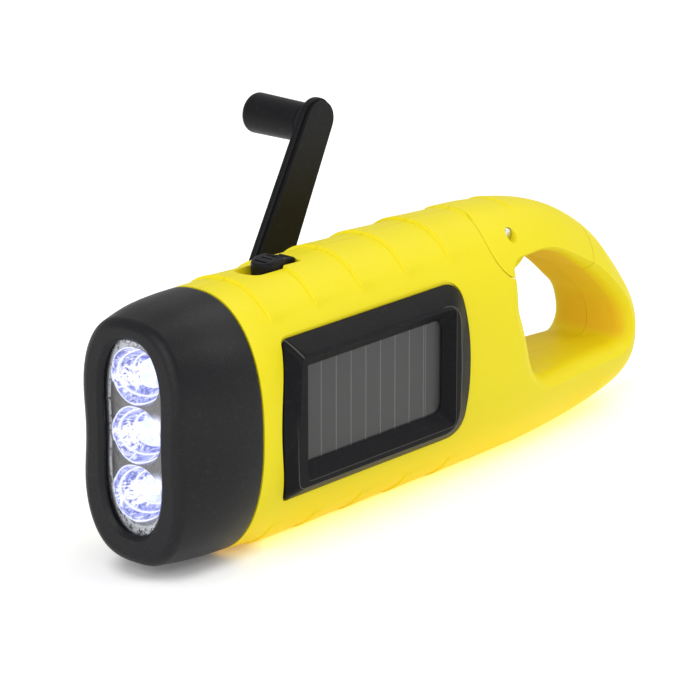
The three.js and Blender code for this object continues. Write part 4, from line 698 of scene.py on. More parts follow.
# %% All finishes by slot
finishes = {
    "yellow_plastic": yellow_plastic(),
    "bezel_black": black_plastic("bezel_black", 0.36, etch=0.75, sparkle=0.08, specular=0.22),
    "frame_black": black_plastic("frame_black", 0.42, 0.45, 0.06, specular=0.085, edges=frame_painted_highlights),
    "crank_black": black_plastic("crank_black", 0.36, etch=0.3, sparkle=0.05),
    "switch_black": black_plastic("switch_black", 0.34, etch=0.45, sparkle=0.08),
    "lens": clear_window(),
    "reflector_chrome": chrome_cups(),
    "led_lit": lit_lamp(),
    "board_green": circuit_board(),
    "solar_panel": solar_glass(),
    "steel": metal("steel", (0.72, 0.73, 0.75), 0.2, (1.0, 8.0, 1.0)),
    "nylon_white": moulded("nylon_white", (0.8, 0.78, 0.72), 0.5),
    "magnet": metal("magnet", (0.18, 0.18, 0.19), 0.35),
    "copper": metal("copper", (0.72, 0.3, 0.12), 0.25, (24.0, 1.0, 1.0)),
    "sleeve_green": moulded("sleeve_green", (0.03, 0.26, 0.08), 0.35),
    "component_black": moulded("component_black", (0.02, 0.02, 0.022), 0.4),
    "wire_red": moulded("wire_red", (0.42, 0.02, 0.015), 0.4),
    "wire_black": moulded("wire_black", (0.015, 0.015, 0.016), 0.4),
}
for row in frame["record"]["subparts"]:
    node = frame["nodes"][row["node"]]
    node.data.materials.clear()
    node.data.materials.append(finishes[row["material_slot"]])
print(len(finishes), "finishes on", len(frame["nodes"]), "carried over nodes")

# %% [markdown]
# ## The body's shape
#
# The real body is two moulded shells. Seen from the side its top and underside are long smooth curves,
# and seen from above it narrows towards the tail. So a few chosen points give the top, the underside
# and the half width along the length, as shares of the body's size, and a smooth curve runs through
# them. Every cross section is a superellipse: an oval with fuller corners.

# %% Body curves
BODY_LENGTH = 135.0
BODY_HEIGHT = 48.0
BODY_HALF_WIDTH = 15.6
FRONT_Y = -BODY_LENGTH / 2
REAR_Y = BODY_LENGTH / 2
ROUNDNESS = 2.3
TOP_SHARES = [
    (0, 0.944), (0.055, 0.976), (0.126, 0.989), (0.192, 0.987), (0.31, 0.992), (0.458, 0.994),
    (0.606, 0.99), (0.679, 0.985), (0.746, 0.962), (0.783, 0.94), (0.815, 0.91), (0.856, 0.853),
    (0.896, 0.775), (0.923, 0.695), (0.949, 0.605), (0.973, 0.51), (0.99, 0.423), (1, 0.328),
]
BOTTOM_SHARES = [
    (0, 0.046), (0.055, 0.027), (0.126, 0.01), (0.2, -0.006), (0.31, -0.0104), (0.716, -0.0104),
    (0.775, -0.004), (0.82, 0.005), (0.862, 0.018), (0.915, 0.045), (0.951, 0.08), (0.982, 0.148),
    (1, 0.271),
]
WIDTH_SHARES = [
    (0, 0.75), (0.126, 0.99), (0.2, 0.965), (0.3, 0.955), (0.6, 0.955), (0.68, 0.94), (0.75, 0.885),
    (0.82, 0.79), (0.9, 0.705), (0.96, 0.605), (0.985, 0.44), (1, 0.25),
]


def value_at(shares, share):
    """A smooth curve through the points, whose far end closes with an upright tangent."""
    eased = [math.sqrt(max(0.0, 1.0 - along)) for along, _ in shares]
    values = [value for _, value in shares]
    last = len(shares) - 1
    k = 0
    while k + 2 <= last and share > shares[k + 1][0]:
        k += 1
    before, after = max(0, k - 1), min(last, k + 2)
    span = eased[k + 1] - eased[k]
    t = (math.sqrt(max(0.0, 1.0 - share)) - eased[k]) / span
    slope_start = (values[k + 1] - values[before]) / (eased[k + 1] - eased[before]) * span
    slope_end = (values[after] - values[k]) / (eased[after] - eased[k]) * span
    return (
        (2 * t**3 - 3 * t**2 + 1) * values[k]
        + (t**3 - 2 * t**2 + t) * slope_start
        + (3 * t**2 - 2 * t**3) * values[k + 1]
        + (t**3 - t**2) * slope_end
    )


def body_at(y):
    """Centre height, half height and half width of the body at a place along it."""
    share = min(1.0, max(0.0, (y - FRONT_Y) / BODY_LENGTH))
    top = value_at(TOP_SHARES, share) * BODY_HEIGHT
    bottom = value_at(BOTTOM_SHARES, share) * BODY_HEIGHT
    return (top + bottom) / 2, (top - bottom) / 2, value_at(WIDTH_SHARES, share) * BODY_HALF_WIDTH


def skin_half_width(y, z):
    centre, half_height, half_width = body_at(y)
    upward = min(1.0, abs(z - centre) / half_height)
    return half_width * (1 - upward**ROUNDNESS) ** (1 / ROUNDNESS)


def section(y, centre, half_width, half_height, roundness, sectors, waist=0.0, reach=1.0, proud=None):
    """A superellipse ring across the torch, pinched at its waist where one is given."""
    angle = np.pi * (2 * np.arange(sectors) + 1) / sectors
    across = np.sign(np.cos(angle)) * np.abs(np.cos(angle)) ** (2 / roundness)
    upward = np.sign(np.sin(angle)) * np.abs(np.sin(angle)) ** (2 / roundness)
    z = upward * half_height
    x = across * (half_width - waist * np.exp(-((z / reach) ** 2)))
    lift = 0.0 if proud is None else proud(upward) / np.hypot(x, z)
    return np.column_stack([x * (1 + lift), np.full(sectors, y), centre + z * (1 + lift)])


print("body half width at the middle, mm:", round(body_at(0)[2], 2))

# %% [markdown]
# The grip ribs are saw teeth that run over the top and the underside. Five end crisply where the
# sides begin, and two short ones near the tail only cross the middle of the back and the underside.
# Each has a short steep step that faces the head, then sinks back slowly, and on the underside it is
# lower. They could be a bump, but they show in the outline, so they are real: the rings of the skin
# are set close together on each step, and each ring is lifted where the tooth stands.

# %% Body skin with its ribs
RIB_HEIGHT = 0.55
RIB_UNDER_SHARE = 0.5
RIB_PITCH = 12.08
FIRST_RIB_Y = -43.7
RIB_COUNT = 7
LONG_RIBS = 5
SHORT_RIB_SHARE = 0.5
RIB_RISE = 0.28
RIB_DECAY = 1.4
RIB_FADE = (0.755, 0.8)
SHORT_RIB_FADE = (0.93, 0.97)
RIB_PLACES = (0.0, 0.07, 0.14, 0.21, 0.28, 0.4, 0.7, 1.3, 2.2, 3.4, 5.0, 7.0, 9.0, 10.8, 11.8)
SEAM_Y = FRONT_Y + 17.0
SEAM_HALF_GAP = 0.15
LONG_RIBS_END = FIRST_RIB_Y + LONG_RIBS * RIB_PITCH
RIBS_END = FIRST_RIB_Y + RIB_COUNT * RIB_PITCH
TINY = 1e-9
TAIL_STEPS = 56
BODY_SECTORS = 160


def smoothstep(value, low, high):
    t = np.clip((value - low) / (high - low), 0, 1)
    return t * t * (3 - 2 * t)


def rib_at(y):
    """How far the tooth stands out at a place along the body."""
    along = (y - FIRST_RIB_Y) / RIB_PITCH
    index = math.floor(along + TINY)
    if index < 0 or index >= RIB_COUNT:
        return 0.0
    past = (along - index) * RIB_PITCH
    if past < RIB_RISE:
        return RIB_HEIGHT * float(smoothstep(past, 0, RIB_RISE))
    return RIB_HEIGHT * (1 - (past - RIB_RISE) / (RIB_PITCH - RIB_RISE)) ** RIB_DECAY


def body_ring(y):
    centre, half_height, half_width = body_at(y)
    height = rib_at(y)

    def proud(upward):
        strength = np.where(upward > 0, 1.0, RIB_UNDER_SHARE)
        if y < LONG_RIBS_END - TINY:
            return height * strength * smoothstep(np.abs(upward), *RIB_FADE)
        return height * strength * SHORT_RIB_SHARE * smoothstep(np.abs(upward), *SHORT_RIB_FADE)

    return section(
        y, centre, half_width, half_height, ROUNDNESS, BODY_SECTORS, proud=proud if height > 0 else None
    )


def body_stations():
    """The places along the body that get a ring: close on each tooth, and closer towards the tail."""
    places = list(np.linspace(SEAM_Y + SEAM_HALF_GAP, FIRST_RIB_Y - 0.4, 6))
    for k in range(RIB_COUNT):
        places += [FIRST_RIB_Y + k * RIB_PITCH + past for past in RIB_PLACES]
    for k in range(TAIL_STEPS + 1):
        places.append(RIBS_END + (REAR_Y - RIBS_END) * (1 - (1 - k / TAIL_STEPS) ** 2))
    return places


skin = rolled("skin", [body_ring(y) for y in body_stations()])
print("skin:", len(skin.data.polygons), "faces")

# %% [markdown]
# Much reaches into the body: the crank's hub, arm and knob on the left, the solar frame on the right,
# the slide button and the gate's hinge on top, and four screws. Their places come from the working
# model. They are listed once, because the hollow, the recesses and the pieces themselves all use them.

# %% Places of what reaches into the body
WALL = 1.8
GAP = 0.3
OVERRUN = 3.0
HUB_Y, HUB_Z = -16.9, 24.5
HUB_RECESS_RADIUS = 10.4
HUB_FLOOR_X = -10.7
ARM_SLOT_HALF_WIDTH = 5.9
ARM_SLOT_FLOOR_X = -13.1
KNOB_POCKET_RADIUS = 4.6
KNOB_POCKET_WALL = 1.2
KNOB_POCKET_FLOOR_X = -1.0
KNOB_STOW_Y = 16.0
GATE_PIN_Y, GATE_PIN_Z = 23.3, 42.8
GATE_KNUCKLE = 7.5
GATE_CLEARANCE = 0.35
WELL_FLOOR_Z = 45.6
BUTTON_FRONT_Y = -35.3
BUTTON_LENGTH = 8.3
BUTTON_HALF_WIDTH = 2.5
BUTTON_TOP_Z = 49.0
WELL_FRONT_Y = -39.9
FRAME_FRONT_Y, FRAME_REAR_Y = -43.0, 4.4
FRAME_FRONT_LEAN = 0.4
FRAME_BOTTOM_Z, FRAME_TOP_Z = 10.3, 39.0
FRAME_BASE_X = 12.5
FRAME_FRONT_BOW, FRAME_REAR_BOW = 3.6, 1.1
FRAME_FRONT_ROUND, FRAME_REAR_ROUND = 30.0, 120.0
FRAME_FLOOR_X = 10.5
FRAME_FRONT_CORNER, FRAME_REAR_CORNER = 1.6, 4.5
SCREW_TUBE_RADIUS = 3.1
SCREW_SHARES = [(0.2926, 0.1354), (0.5852, 0.8229), (0.7926, 0.1354), (0.91, 0.14)]
screw_places = [(FRONT_Y + a * BODY_LENGTH, b * BODY_HEIGHT) for a, b in SCREW_SHARES]
print("screws at y, z, mm:", [(round(y, 1), round(z, 1)) for y, z in screw_places])

# %% [markdown]
# The button's trough is scooped: its front is a half round that leans back as it goes down, so it is
# rolled from a few plans, one above the other. The solar frame's outline bows out in front and behind.
# It starts as a polygon, and each of its corners is then rounded with a short curve.

# %% Trough and frame outline
SCOOP = [(1.7, 0.0), (0.9, 0.5), (0.35, 1.2)]
SCOOP_STEPS = 24
FRAME_CORNER_STEPS = 12


def well(grow):
    """The scooped trough of the slide button, rounded at its front and wider at its top."""
    rear = BUTTON_FRONT_Y + BUTTON_LENGTH + GAP + grow
    half = BUTTON_HALF_WIDTH + GAP + grow
    centre_y = WELL_FRONT_Y + BUTTON_HALF_WIDTH + GAP
    angles = np.linspace(0, -np.pi, SCOOP_STEPS + 1)

    def plan(shrink, z):
        points = [(half, rear)]
        points += [(half * math.cos(a), centre_y + half * math.sin(a) + shrink) for a in angles]
        points.append((-half, rear))
        return np.array([(x, y, z) for x, y in points])

    levels = [(shrink, WELL_FLOOR_Z - grow + rise) for shrink, rise in SCOOP]
    levels += [(0.0, BUTTON_TOP_Z), (0.0, BUTTON_TOP_Z + OVERRUN)]
    return rolled("well", [plan(shrink, z) for shrink, z in levels])


def rounded_outline(corners, steps):
    """Rounds each corner (y, z, radius) of a closed outline with a short curve."""
    points = []
    for k, (y, z, radius) in enumerate(corners):
        here = np.array([y, z])
        back = np.array(corners[k - 1][:2]) - here
        ahead = np.array(corners[(k + 1) % len(corners)][:2]) - here
        back = back / np.linalg.norm(back)
        ahead = ahead / np.linalg.norm(ahead)
        setback = radius / math.tan(math.acos(float(np.clip(back @ ahead, -1, 1))) / 2)
        start, end = here + back * setback, here + ahead * setback
        for t in np.linspace(0, 1, steps + 1):
            points.append((1 - t) ** 2 * start + 2 * t * (1 - t) * here + t**2 * end)
    return np.array(points)


def frame_outline(grow, rear=None, front=None, front_bow=FRAME_FRONT_BOW, rear_bow=FRAME_REAR_BOW):
    """The outline of the solar frame in (y, z), grown to all sides, or by its own step at an end."""
    rear = grow if rear is None else rear
    front = grow if front is None else front
    middle = (FRAME_BOTTOM_Z + FRAME_TOP_Z) / 2
    return rounded_outline([
        (FRAME_FRONT_Y + FRAME_FRONT_LEAN - front, FRAME_TOP_Z + grow, FRAME_FRONT_CORNER),
        (FRAME_FRONT_Y - front_bow - front, middle, FRAME_FRONT_ROUND),
        (FRAME_FRONT_Y - FRAME_FRONT_LEAN - front, FRAME_BOTTOM_Z - grow, FRAME_FRONT_CORNER),
        (FRAME_REAR_Y + rear, FRAME_BOTTOM_Z - grow, FRAME_REAR_CORNER),
        (FRAME_REAR_Y + rear_bow + rear, middle, FRAME_REAR_ROUND),
        (FRAME_REAR_Y + rear, FRAME_TOP_Z + grow, FRAME_REAR_CORNER),
    ], FRAME_CORNER_STEPS)


# %% [markdown]
# The inside is hollow, with walls of 1.8 mm, and walls stand in it round the crank's bearing, the
# arm's trough, the knob's hole, the gate's hinge, the button's trough, the solar frame's seat and the
# two front screws. The hollow is a smaller body with those walls cut from it, and it is then cut from
# the skin. Behind it the tail is solid, so the two rear screws need no walls.

# %% Hollow
CAVITY_SECTORS = 64
CAVITY_RINGS = 24
CAVITY_REAR_Y = 19.5


def inset_ring(y, inset, sectors=CAVITY_SECTORS):
    centre, half_height, half_width = body_at(y)
    return section(y, centre, half_width - inset, half_height - inset, ROUNDNESS, sectors)


cavity_places = np.linspace(SEAM_Y - OVERRUN, CAVITY_REAR_Y, CAVITY_RINGS)
hollow = rolled("hollow", [inset_ring(y, WALL) for y in cavity_places])
outside = 2 * BODY_HALF_WIDTH
walls = [
    well(WALL),
    bar("housing", GATE_KNUCKLE + GATE_CLEARANCE + WALL, -outside, outside, GATE_PIN_Y, GATE_PIN_Z),
    bar("bearing", HUB_RECESS_RADIUS + WALL, -outside, HUB_FLOOR_X + WALL, HUB_Y, HUB_Z),
    block("slot_wall", -outside, ARM_SLOT_FLOOR_X + WALL, HUB_Y, KNOB_STOW_Y,
          HUB_Z - ARM_SLOT_HALF_WIDTH - WALL, HUB_Z + ARM_SLOT_HALF_WIDTH + WALL),
    bar("pocket_wall", KNOB_POCKET_RADIUS + KNOB_POCKET_WALL, -outside, OVERRUN, KNOB_STOW_Y, HUB_Z),
    side_plate("frame_wall", frame_outline(WALL), FRAME_FLOOR_X, outside),
]
walls += [bar("tube", SCREW_TUBE_RADIUS, -outside, outside, y, z) for y, z in screw_places[:2]]
cut(hollow, *walls)
print("hollow:", len(hollow.data.polygons), "faces")

# %% [markdown]
# The tail is a hook with a hole through it. Moulded plastic has no sharp rim there, so the hole is
# flat in its middle and flares to both sides with a quarter round, broader on the side of the crank.
# The cutter is a tube of rings that follow the hole's outline. From its middle to either side each
# ring is a little wider and a little further out.

# %% Loop cutter
LOOP_SHARES = [
    (0.66, 0.798, 0.042), (0.666, 0.615, 0.188), (0.7037, 0.294, 0.188), (0.9444, 0.2875, 0.071),
    (0.931, 0.448, 0.2), (0.8674, 0.61, 1.0), (0.7578, 0.796, 0.45),
]
LOOP_FILLET = 4.0
GATE_FILLET = 2.2
FAR_LOOP_FILLET = 5.2
FAR_GATE_FILLET = 3.8
FILLET_Z = (29.0, 37.0)
FILLET_STEPS = 10
LOOP_CORNER_STEPS = 16
LOOP_POINTS = 220


def evenly(points, count):
    """The same closed outline with points at even distances."""
    closed = np.vstack([points, points[:1]])
    lengths = np.concatenate([[0], np.cumsum(np.linalg.norm(np.diff(closed, axis=0), axis=1))])
    places = np.linspace(0, lengths[-1], count, endpoint=False)
    return np.column_stack([np.interp(places, lengths, closed[:, k]) for k in range(2)])


def outward(points):
    """Unit steps away from the middle of a closed outline."""
    along = np.roll(points, -1, axis=0) - np.roll(points, 1, axis=0)
    along /= np.linalg.norm(along, axis=1)[:, None]
    area = np.sum(points[:, 0] * np.roll(points[:, 1], -1) - np.roll(points[:, 0], -1) * points[:, 1])
    return np.sign(area) * np.column_stack([along[:, 1], -along[:, 0]])


def loop_cutter():
    corners = [(FRONT_Y + a * BODY_LENGTH, b * BODY_HEIGHT, r * BODY_HEIGHT) for a, b, r in LOOP_SHARES]
    outline = evenly(rounded_outline(corners, LOOP_CORNER_STEPS), LOOP_POINTS)
    step = outward(outline)
    widths = np.array([skin_half_width(y, z) for y, z in outline])
    upper = smoothstep(outline[:, 1], *FILLET_Z)
    near_fillets = LOOP_FILLET + (GATE_FILLET - LOOP_FILLET) * upper
    far_fillets = FAR_LOOP_FILLET + (FAR_GATE_FILLET - FAR_LOOP_FILLET) * upper

    def ring(share, side, x=None):
        fillets = near_fillets if side > 0 else far_fillets
        spread = outline + step * (fillets * (1 - math.sqrt(1 - share**2)))[:, None]
        reach = widths - fillets * (1 - share) if x is None else np.full(len(outline), x)
        return np.column_stack([side * reach, spread])

    shares = [math.sin(k / FILLET_STEPS * math.pi / 2) for k in range(FILLET_STEPS + 1)]
    rings = [ring(1.0, -1, BODY_HALF_WIDTH + OVERRUN)]
    rings += [ring(share, -1) for share in reversed(shares)]
    rings += [ring(share, 1) for share in shares]
    rings.append(ring(1.0, 1, BODY_HALF_WIDTH + OVERRUN))
    return rolled("loop_hole", rings)


loop_hole = loop_cutter()
print("loop cutter:", len(loop_hole.data.polygons), "faces")

# %% [markdown]
# ## The gate
#
# The gate is the sprung lever that closes the tail's loop. It turns on a pin, and it is cut from the
# same skin as the body, so that its outside carries on the body's lines. The disc round the pin is
# left whole, and a slot inside takes the tongue of the body.

# %% Gate and its room
GATE_REACH = 26.5
GATE_BROW = 130.0
GATE_HEEL = -52.0
GATE_END = 20.0
GATE_SEAM = 0.18
GATE_DISC_HALF_WIDTH = 8.6
GATE_PIN_RADIUS = 1.2
TONGUE_HALF_WIDTH = 4.4
TONGUE_RADIUS = 3.4
TONGUE_HALF_HEIGHT = 3.0
BROW_STEPS, REACH_STEPS = 56, 30
PLAY = 0.1


def arc(radius, start, end, steps):
    """Points round the gate's pin, between two angles in degrees."""
    angles = np.radians(np.linspace(start, end, steps + 1))
    return [(GATE_PIN_Y + radius * math.cos(a), GATE_PIN_Z + radius * math.sin(a)) for a in angles]


def gate_outline(grow):
    """From the disc's brow round below the pin, along the gate's far end, and out over the top."""
    knuckle, reach, above = GATE_KNUCKLE + grow, GATE_REACH + grow, BODY_HEIGHT + OVERRUN
    brow = arc(knuckle, GATE_BROW - 360, GATE_HEEL, BROW_STEPS)
    return (
        [(brow[0][0], above)]
        + brow
        + arc(reach, GATE_HEEL, GATE_END, REACH_STEPS)
        + [(GATE_PIN_Y + reach, above + OVERRUN)]
    )


def pin_bar(radius, half_length):
    return bar("pin_bar", radius, -half_length, half_length, GATE_PIN_Y, GATE_PIN_Z)


gate = common(copied(skin, "gate_skin"), side_plate("gate_block", gate_outline(0), -outside, outside))
cut(gate, copied(loop_hole, "loop_copy"))
joined(gate, common(copied(skin, "disc_skin"), pin_bar(GATE_KNUCKLE, GATE_DISC_HALF_WIDTH)))
slot_half = TONGUE_HALF_WIDTH + GATE_CLEARANCE
cut(
    gate,
    pin_bar(TONGUE_RADIUS + GAP, slot_half),
    block("gate_slot", -slot_half, slot_half, GATE_PIN_Y - BODY_HALF_WIDTH, GATE_PIN_Y,
          GATE_PIN_Z - BODY_HALF_WIDTH, GATE_PIN_Z + TONGUE_HALF_HEIGHT + GAP),
    pin_bar(GATE_PIN_RADIUS + PLAY, BODY_HALF_WIDTH),
)
print("gate:", len(gate.data.polygons), "faces")

# %% [markdown]
# ## The two shells
#
# Both shells come from one hollow skin. Most of what reaches into them is cut first: the trough of
# the slide button, the room for the gate, the loop and the seats of the screws. The underside is cut
# flat, so that the torch can stand on it. The whole is then copied and each copy keeps one side. A
# hair's breadth is left at the middle, because the parting line of the real shells shows as a fine
# dark line inside the loop.

# %% Cut the skin
PARTING_HALF_GAP = 0.04
STEM_HALF_WIDTH = 1.4
STEM_FRONT_Y = BUTTON_FRONT_Y + 3.5
STEM_LENGTH = 2.8
STEM_SLOT_BOTTOM_Z = 39.6
BUTTON_TRAVEL = 3.5
SCREW_HOLE_RADIUS = 2.7
SCREW_HOLE_CHAMFER = 0.35
SCREW_HEAD_DEPTH = 4.2
SCREW_SEAT_GAP = 0.1

body = cut(copied(skin, "body"), hollow)
cut(
    body,
    well(0),
    block("stem_slot", -STEM_HALF_WIDTH - GAP, STEM_HALF_WIDTH + GAP,
          STEM_FRONT_Y - BUTTON_TRAVEL - PLAY, STEM_FRONT_Y + STEM_LENGTH + GAP,
          STEM_SLOT_BOTTOM_Z, BODY_HEIGHT),
    copied(loop_hole, "loop_copy"),
    side_plate("gate_room", gate_outline(GATE_SEAM), -outside, outside),
    bar("disc_room", GATE_KNUCKLE + GATE_SEAM, -outside, outside, GATE_PIN_Y, GATE_PIN_Z),
    block("ground", -BODY_LENGTH, BODY_LENGTH, -BODY_LENGTH, BODY_LENGTH, -BODY_HEIGHT, 0.0),
)
screw_heads = []
for y, z in screw_places:
    surface = SCREW_SEAT_GAP - skin_half_width(y, z)
    floor_x = surface + SCREW_HEAD_DEPTH
    rim_radius = SCREW_HOLE_RADIUS + SCREW_HOLE_CHAMFER
    profile = [
        (-outside, rim_radius), (surface, rim_radius),
        (surface + SCREW_HOLE_CHAMFER, SCREW_HOLE_RADIUS), (floor_x, SCREW_HOLE_RADIUS),
    ]
    cut(body, turned("screw_hole", profile, (y, z)))
    screw_heads.append((floor_x - SCREW_SEAT_GAP, y, z))
print("screw heads at x, mm:", [round(x, 1) for x, _, _ in screw_heads])

# %% [markdown]
# The tongue that the gate's cheeks straddle belongs to the body, so it is joined last, after the room
# for the gate is cut. The collar that the head slides over joins there too.

# %% Tongue, collar and the split
HEAD_LENGTH = 17.0
HEAD_FRONT_HALF_WIDTH = 12.1
HEAD_REAR_HALF_WIDTH = 15.45
HEAD_ROUNDNESS = 2.8
HEAD_WAIST = 1.2
HEAD_INSET = 2.2
NECK_WALL = 1.4
NECK_FRONT_Y = SEAM_Y - 3.4
NECK_SECTORS = 96
SPRING_ROOM_RADIUS, SPRING_ROOM_HALF_WIDTH = 2.7, 2.2


def head_ring(y, inset, sectors):
    share = min(1.0, max(0.0, (y - FRONT_Y) / HEAD_LENGTH))
    centre, half_height, _ = body_at(y)
    widening = math.sin(share * math.pi / 2)
    half_width = HEAD_FRONT_HALF_WIDTH + (HEAD_REAR_HALF_WIDTH - HEAD_FRONT_HALF_WIDTH) * widening
    roundness = ROUNDNESS + (HEAD_ROUNDNESS - ROUNDNESS) * (1 - share)
    return section(
        y, centre, half_width - inset, half_height - inset, roundness, sectors,
        waist=HEAD_WAIST * (1 - share), reach=WAIST_REACH,
    )


root = block("tongue_root", -TONGUE_HALF_WIDTH, TONGUE_HALF_WIDTH,
             GATE_PIN_Y - GATE_KNUCKLE - GATE_CLEARANCE - WALL, GATE_PIN_Y,
             GATE_PIN_Z - TONGUE_HALF_HEIGHT, GATE_PIN_Z + TONGUE_HALF_HEIGHT)
tongue = common(joined(root, pin_bar(TONGUE_RADIUS, TONGUE_HALF_WIDTH)), copied(skin, "tongue_skin"))
cut(
    tongue,
    pin_bar(GATE_PIN_RADIUS + PLAY, BODY_HALF_WIDTH),
    pin_bar(SPRING_ROOM_RADIUS, SPRING_ROOM_HALF_WIDTH),
)
neck = rolled("neck", [head_ring(y, HEAD_INSET, NECK_SECTORS) for y in (NECK_FRONT_Y, SEAM_Y + GAP)])
joined(neck, rolled("neck_root", [
    inset_ring(SEAM_Y + behind, WALL / 2, NECK_SECTORS) for behind in (SEAM_HALF_GAP, OVERRUN)
]))
neck_inner = rolled("neck_inner", [
    head_ring(y, HEAD_INSET + NECK_WALL, NECK_SECTORS)
    for y in (NECK_FRONT_Y - OVERRUN, SEAM_Y + 2 * OVERRUN)
])
cut(neck, neck_inner)
joined(body, tongue, neck)

left = cut(copied(body, "left"), block("right_half", -PARTING_HALF_GAP, 2 * outside, -BODY_LENGTH,
                                       BODY_LENGTH, -BODY_HEIGHT, 2 * BODY_HEIGHT))
right = cut(body, block("left_half", -2 * outside, PARTING_HALF_GAP, -BODY_LENGTH,
                        BODY_LENGTH, -BODY_HEIGHT, 2 * BODY_HEIGHT))
print("left:", len(left.data.polygons), "faces, right:", len(right.data.polygons), "faces")

# %% [markdown]
# The crank folds flat into the left shell: a round recess takes its hub, a trough takes the arm, and a
# deep hole takes the knob. The two round ones have chamfered rims, which is done here by letting each
# cutter widen towards its rim.

# %% Recesses of the crank, seat of the solar frame
HUB_SKIN_X = -14.75
BEARING_RADIUS = 3.6


def chamfered_bar(name, radius, floor_x, y, z, skin_x, chamfer=0.5):
    """A round cutter that widens at its rim."""
    profile = [
        (-outside, radius + chamfer), (skin_x, radius + chamfer),
        (skin_x + chamfer, radius), (floor_x, radius),
    ]
    return turned(name, profile, (y, z), facets=FINE_ROUND)


cut(
    left,
    chamfered_bar("hub_recess", HUB_RECESS_RADIUS, HUB_FLOOR_X, HUB_Y, HUB_Z, HUB_SKIN_X),
    block("arm_slot", -outside, ARM_SLOT_FLOOR_X, HUB_Y, KNOB_STOW_Y,
          HUB_Z - ARM_SLOT_HALF_WIDTH, HUB_Z + ARM_SLOT_HALF_WIDTH),
    bar("slot_end", ARM_SLOT_HALF_WIDTH, -outside, ARM_SLOT_FLOOR_X, KNOB_STOW_Y, HUB_Z),
    chamfered_bar("knob_pocket", KNOB_POCKET_RADIUS, KNOB_POCKET_FLOOR_X, KNOB_STOW_Y, HUB_Z,
                  ARM_SLOT_FLOOR_X, 0.4),
    bar("bearing_hole", BEARING_RADIUS, HUB_FLOOR_X - OVERRUN, HUB_FLOOR_X + WALL + OVERRUN, HUB_Y, HUB_Z),
)
cut(right, side_plate("frame_seat", frame_outline(GAP), FRAME_BASE_X - GAP, 2 * outside))
finished(left, "shell_left", "body", "yellow_plastic", "left_shell")
finished(right, "shell_right", "body", "yellow_plastic", "right_shell")
finished(gate, "gate_lever", "gate", "yellow_plastic", "gate")
for tool in (skin, loop_hole):
    bpy.data.objects.remove(tool)

# %% [markdown]
# ## The head
#
# The head is one black shell that slides over the collar of the body. All its surfaces follow rings:
# the window's inner edge, a chamfer, the flat face, a soft fillet, the sides, the rear rim, and back
# along the inside. So it is rolled from rings that close on themselves, like a smoke ring. The window
# is a peanut shape, an oval pinched at its waist.

# %% Head shell
BEZEL_WALL = 1.9
BEZEL_FACE_WALL = 0.9
BEZEL_FILLET = 1.5
BEZEL_SECTORS = 176
BEZEL_SMOOTH_ANGLE = math.radians(50)
WINDOW_CHAMFER = 0.7
WINDOW_EDGE = [
    (BEZEL_FACE_WALL, 0.0), (WINDOW_CHAMFER + 0.08, 0.0), (WINDOW_CHAMFER - 0.08, 0.1),
    (0.2, WINDOW_CHAMFER - 0.12), (0.06, WINDOW_CHAMFER + 0.06), (0.0, WINDOW_CHAMFER + 0.25),
]
FILLET_SHARES = 10
SIDE_RINGS = 18
INSIDE_RINGS = 10
REAR_RIM_Y = SEAM_Y - SEAM_HALF_GAP


def window_ring(y, margin, sectors=BEZEL_SECTORS):
    """The window's outline at a place along the torch, wider by a margin."""
    return section(
        y, WINDOW_Z, WINDOW_HALF_WIDTH + margin, WINDOW_HALF_HEIGHT + margin, WINDOW_ROUNDNESS, sectors,
        waist=WINDOW_WAIST, reach=WAIST_REACH,
    )


def bezel_rings():
    rings = [window_ring(FRONT_Y + depth, margin) for depth, margin in WINDOW_EDGE]
    for k in range(FILLET_SHARES + 1):
        angle = k / FILLET_SHARES * math.pi / 2
        y = FRONT_Y + BEZEL_FILLET * (1 - math.cos(angle))
        rings.append(head_ring(y, BEZEL_FILLET * (1 - math.sin(angle)), BEZEL_SECTORS))
    for y in np.linspace(FRONT_Y + BEZEL_FILLET, REAR_RIM_Y - 0.3, SIDE_RINGS)[1:]:
        rings.append(head_ring(y, 0.0, BEZEL_SECTORS))
    for before, inset in ((0.08, 0.08), (0.0, 0.3)):
        rings.append(head_ring(REAR_RIM_Y - before, inset, BEZEL_SECTORS))
    for y in np.linspace(REAR_RIM_Y, FRONT_Y + BEZEL_FACE_WALL, INSIDE_RINGS):
        rings.append(head_ring(y, BEZEL_WALL, BEZEL_SECTORS))
    return rings


bezel = rolled("bezel", bezel_rings(), closed_rows=True)
finished(bezel, "head_shell", "body", "bezel_black", "head_bezel", smooth=BEZEL_SMOOTH_ANGLE)

# %% [markdown]
# Behind the window's opening sits a clear sheet, a little larger than it, with its rim chamfered.

# %% Lens
LENS_Y = FRONT_Y + BEZEL_FACE_WALL + GAP
LENS_THICKNESS = 0.8
LENS_LIP = 1.1
LENS_CHAMFER = 0.15
LENS_SECTORS = 96

lens = rolled("lens_sheet", [
    window_ring(LENS_Y + depth, LENS_LIP - chamfer, LENS_SECTORS) for depth, chamfer in (
        (0.0, LENS_CHAMFER), (LENS_CHAMFER, 0.0),
        (LENS_THICKNESS - LENS_CHAMFER, 0.0), (LENS_THICKNESS, LENS_CHAMFER),
    )
])
finished(lens, "lens_sheet", "body", "lens", "lens_window")

# %% [markdown]
# Behind the sheet sits a chromed plate with three cups. A cup is a parabola turned round the axis of
# its lamp, because that shape throws the light forward. The plate has a low bright rim, whose rings
# close on themselves. The outsides of the cups are all joined to it before the insides are cut, so
# that no cup's wall stands in the next cup.

# %% Cups
CUP_PLATE_Y = LENS_Y + LENS_THICKNESS + GAP
CUP_PLATE = 1.1
CUP_DEPTH = 5.6
CUP_THROAT = 2.8
CUP_WALL = 0.6
CUP_STEPS = 14
lamp_places = [WINDOW_Z + step * LAMP_PITCH for step in (1, 0, -1)]


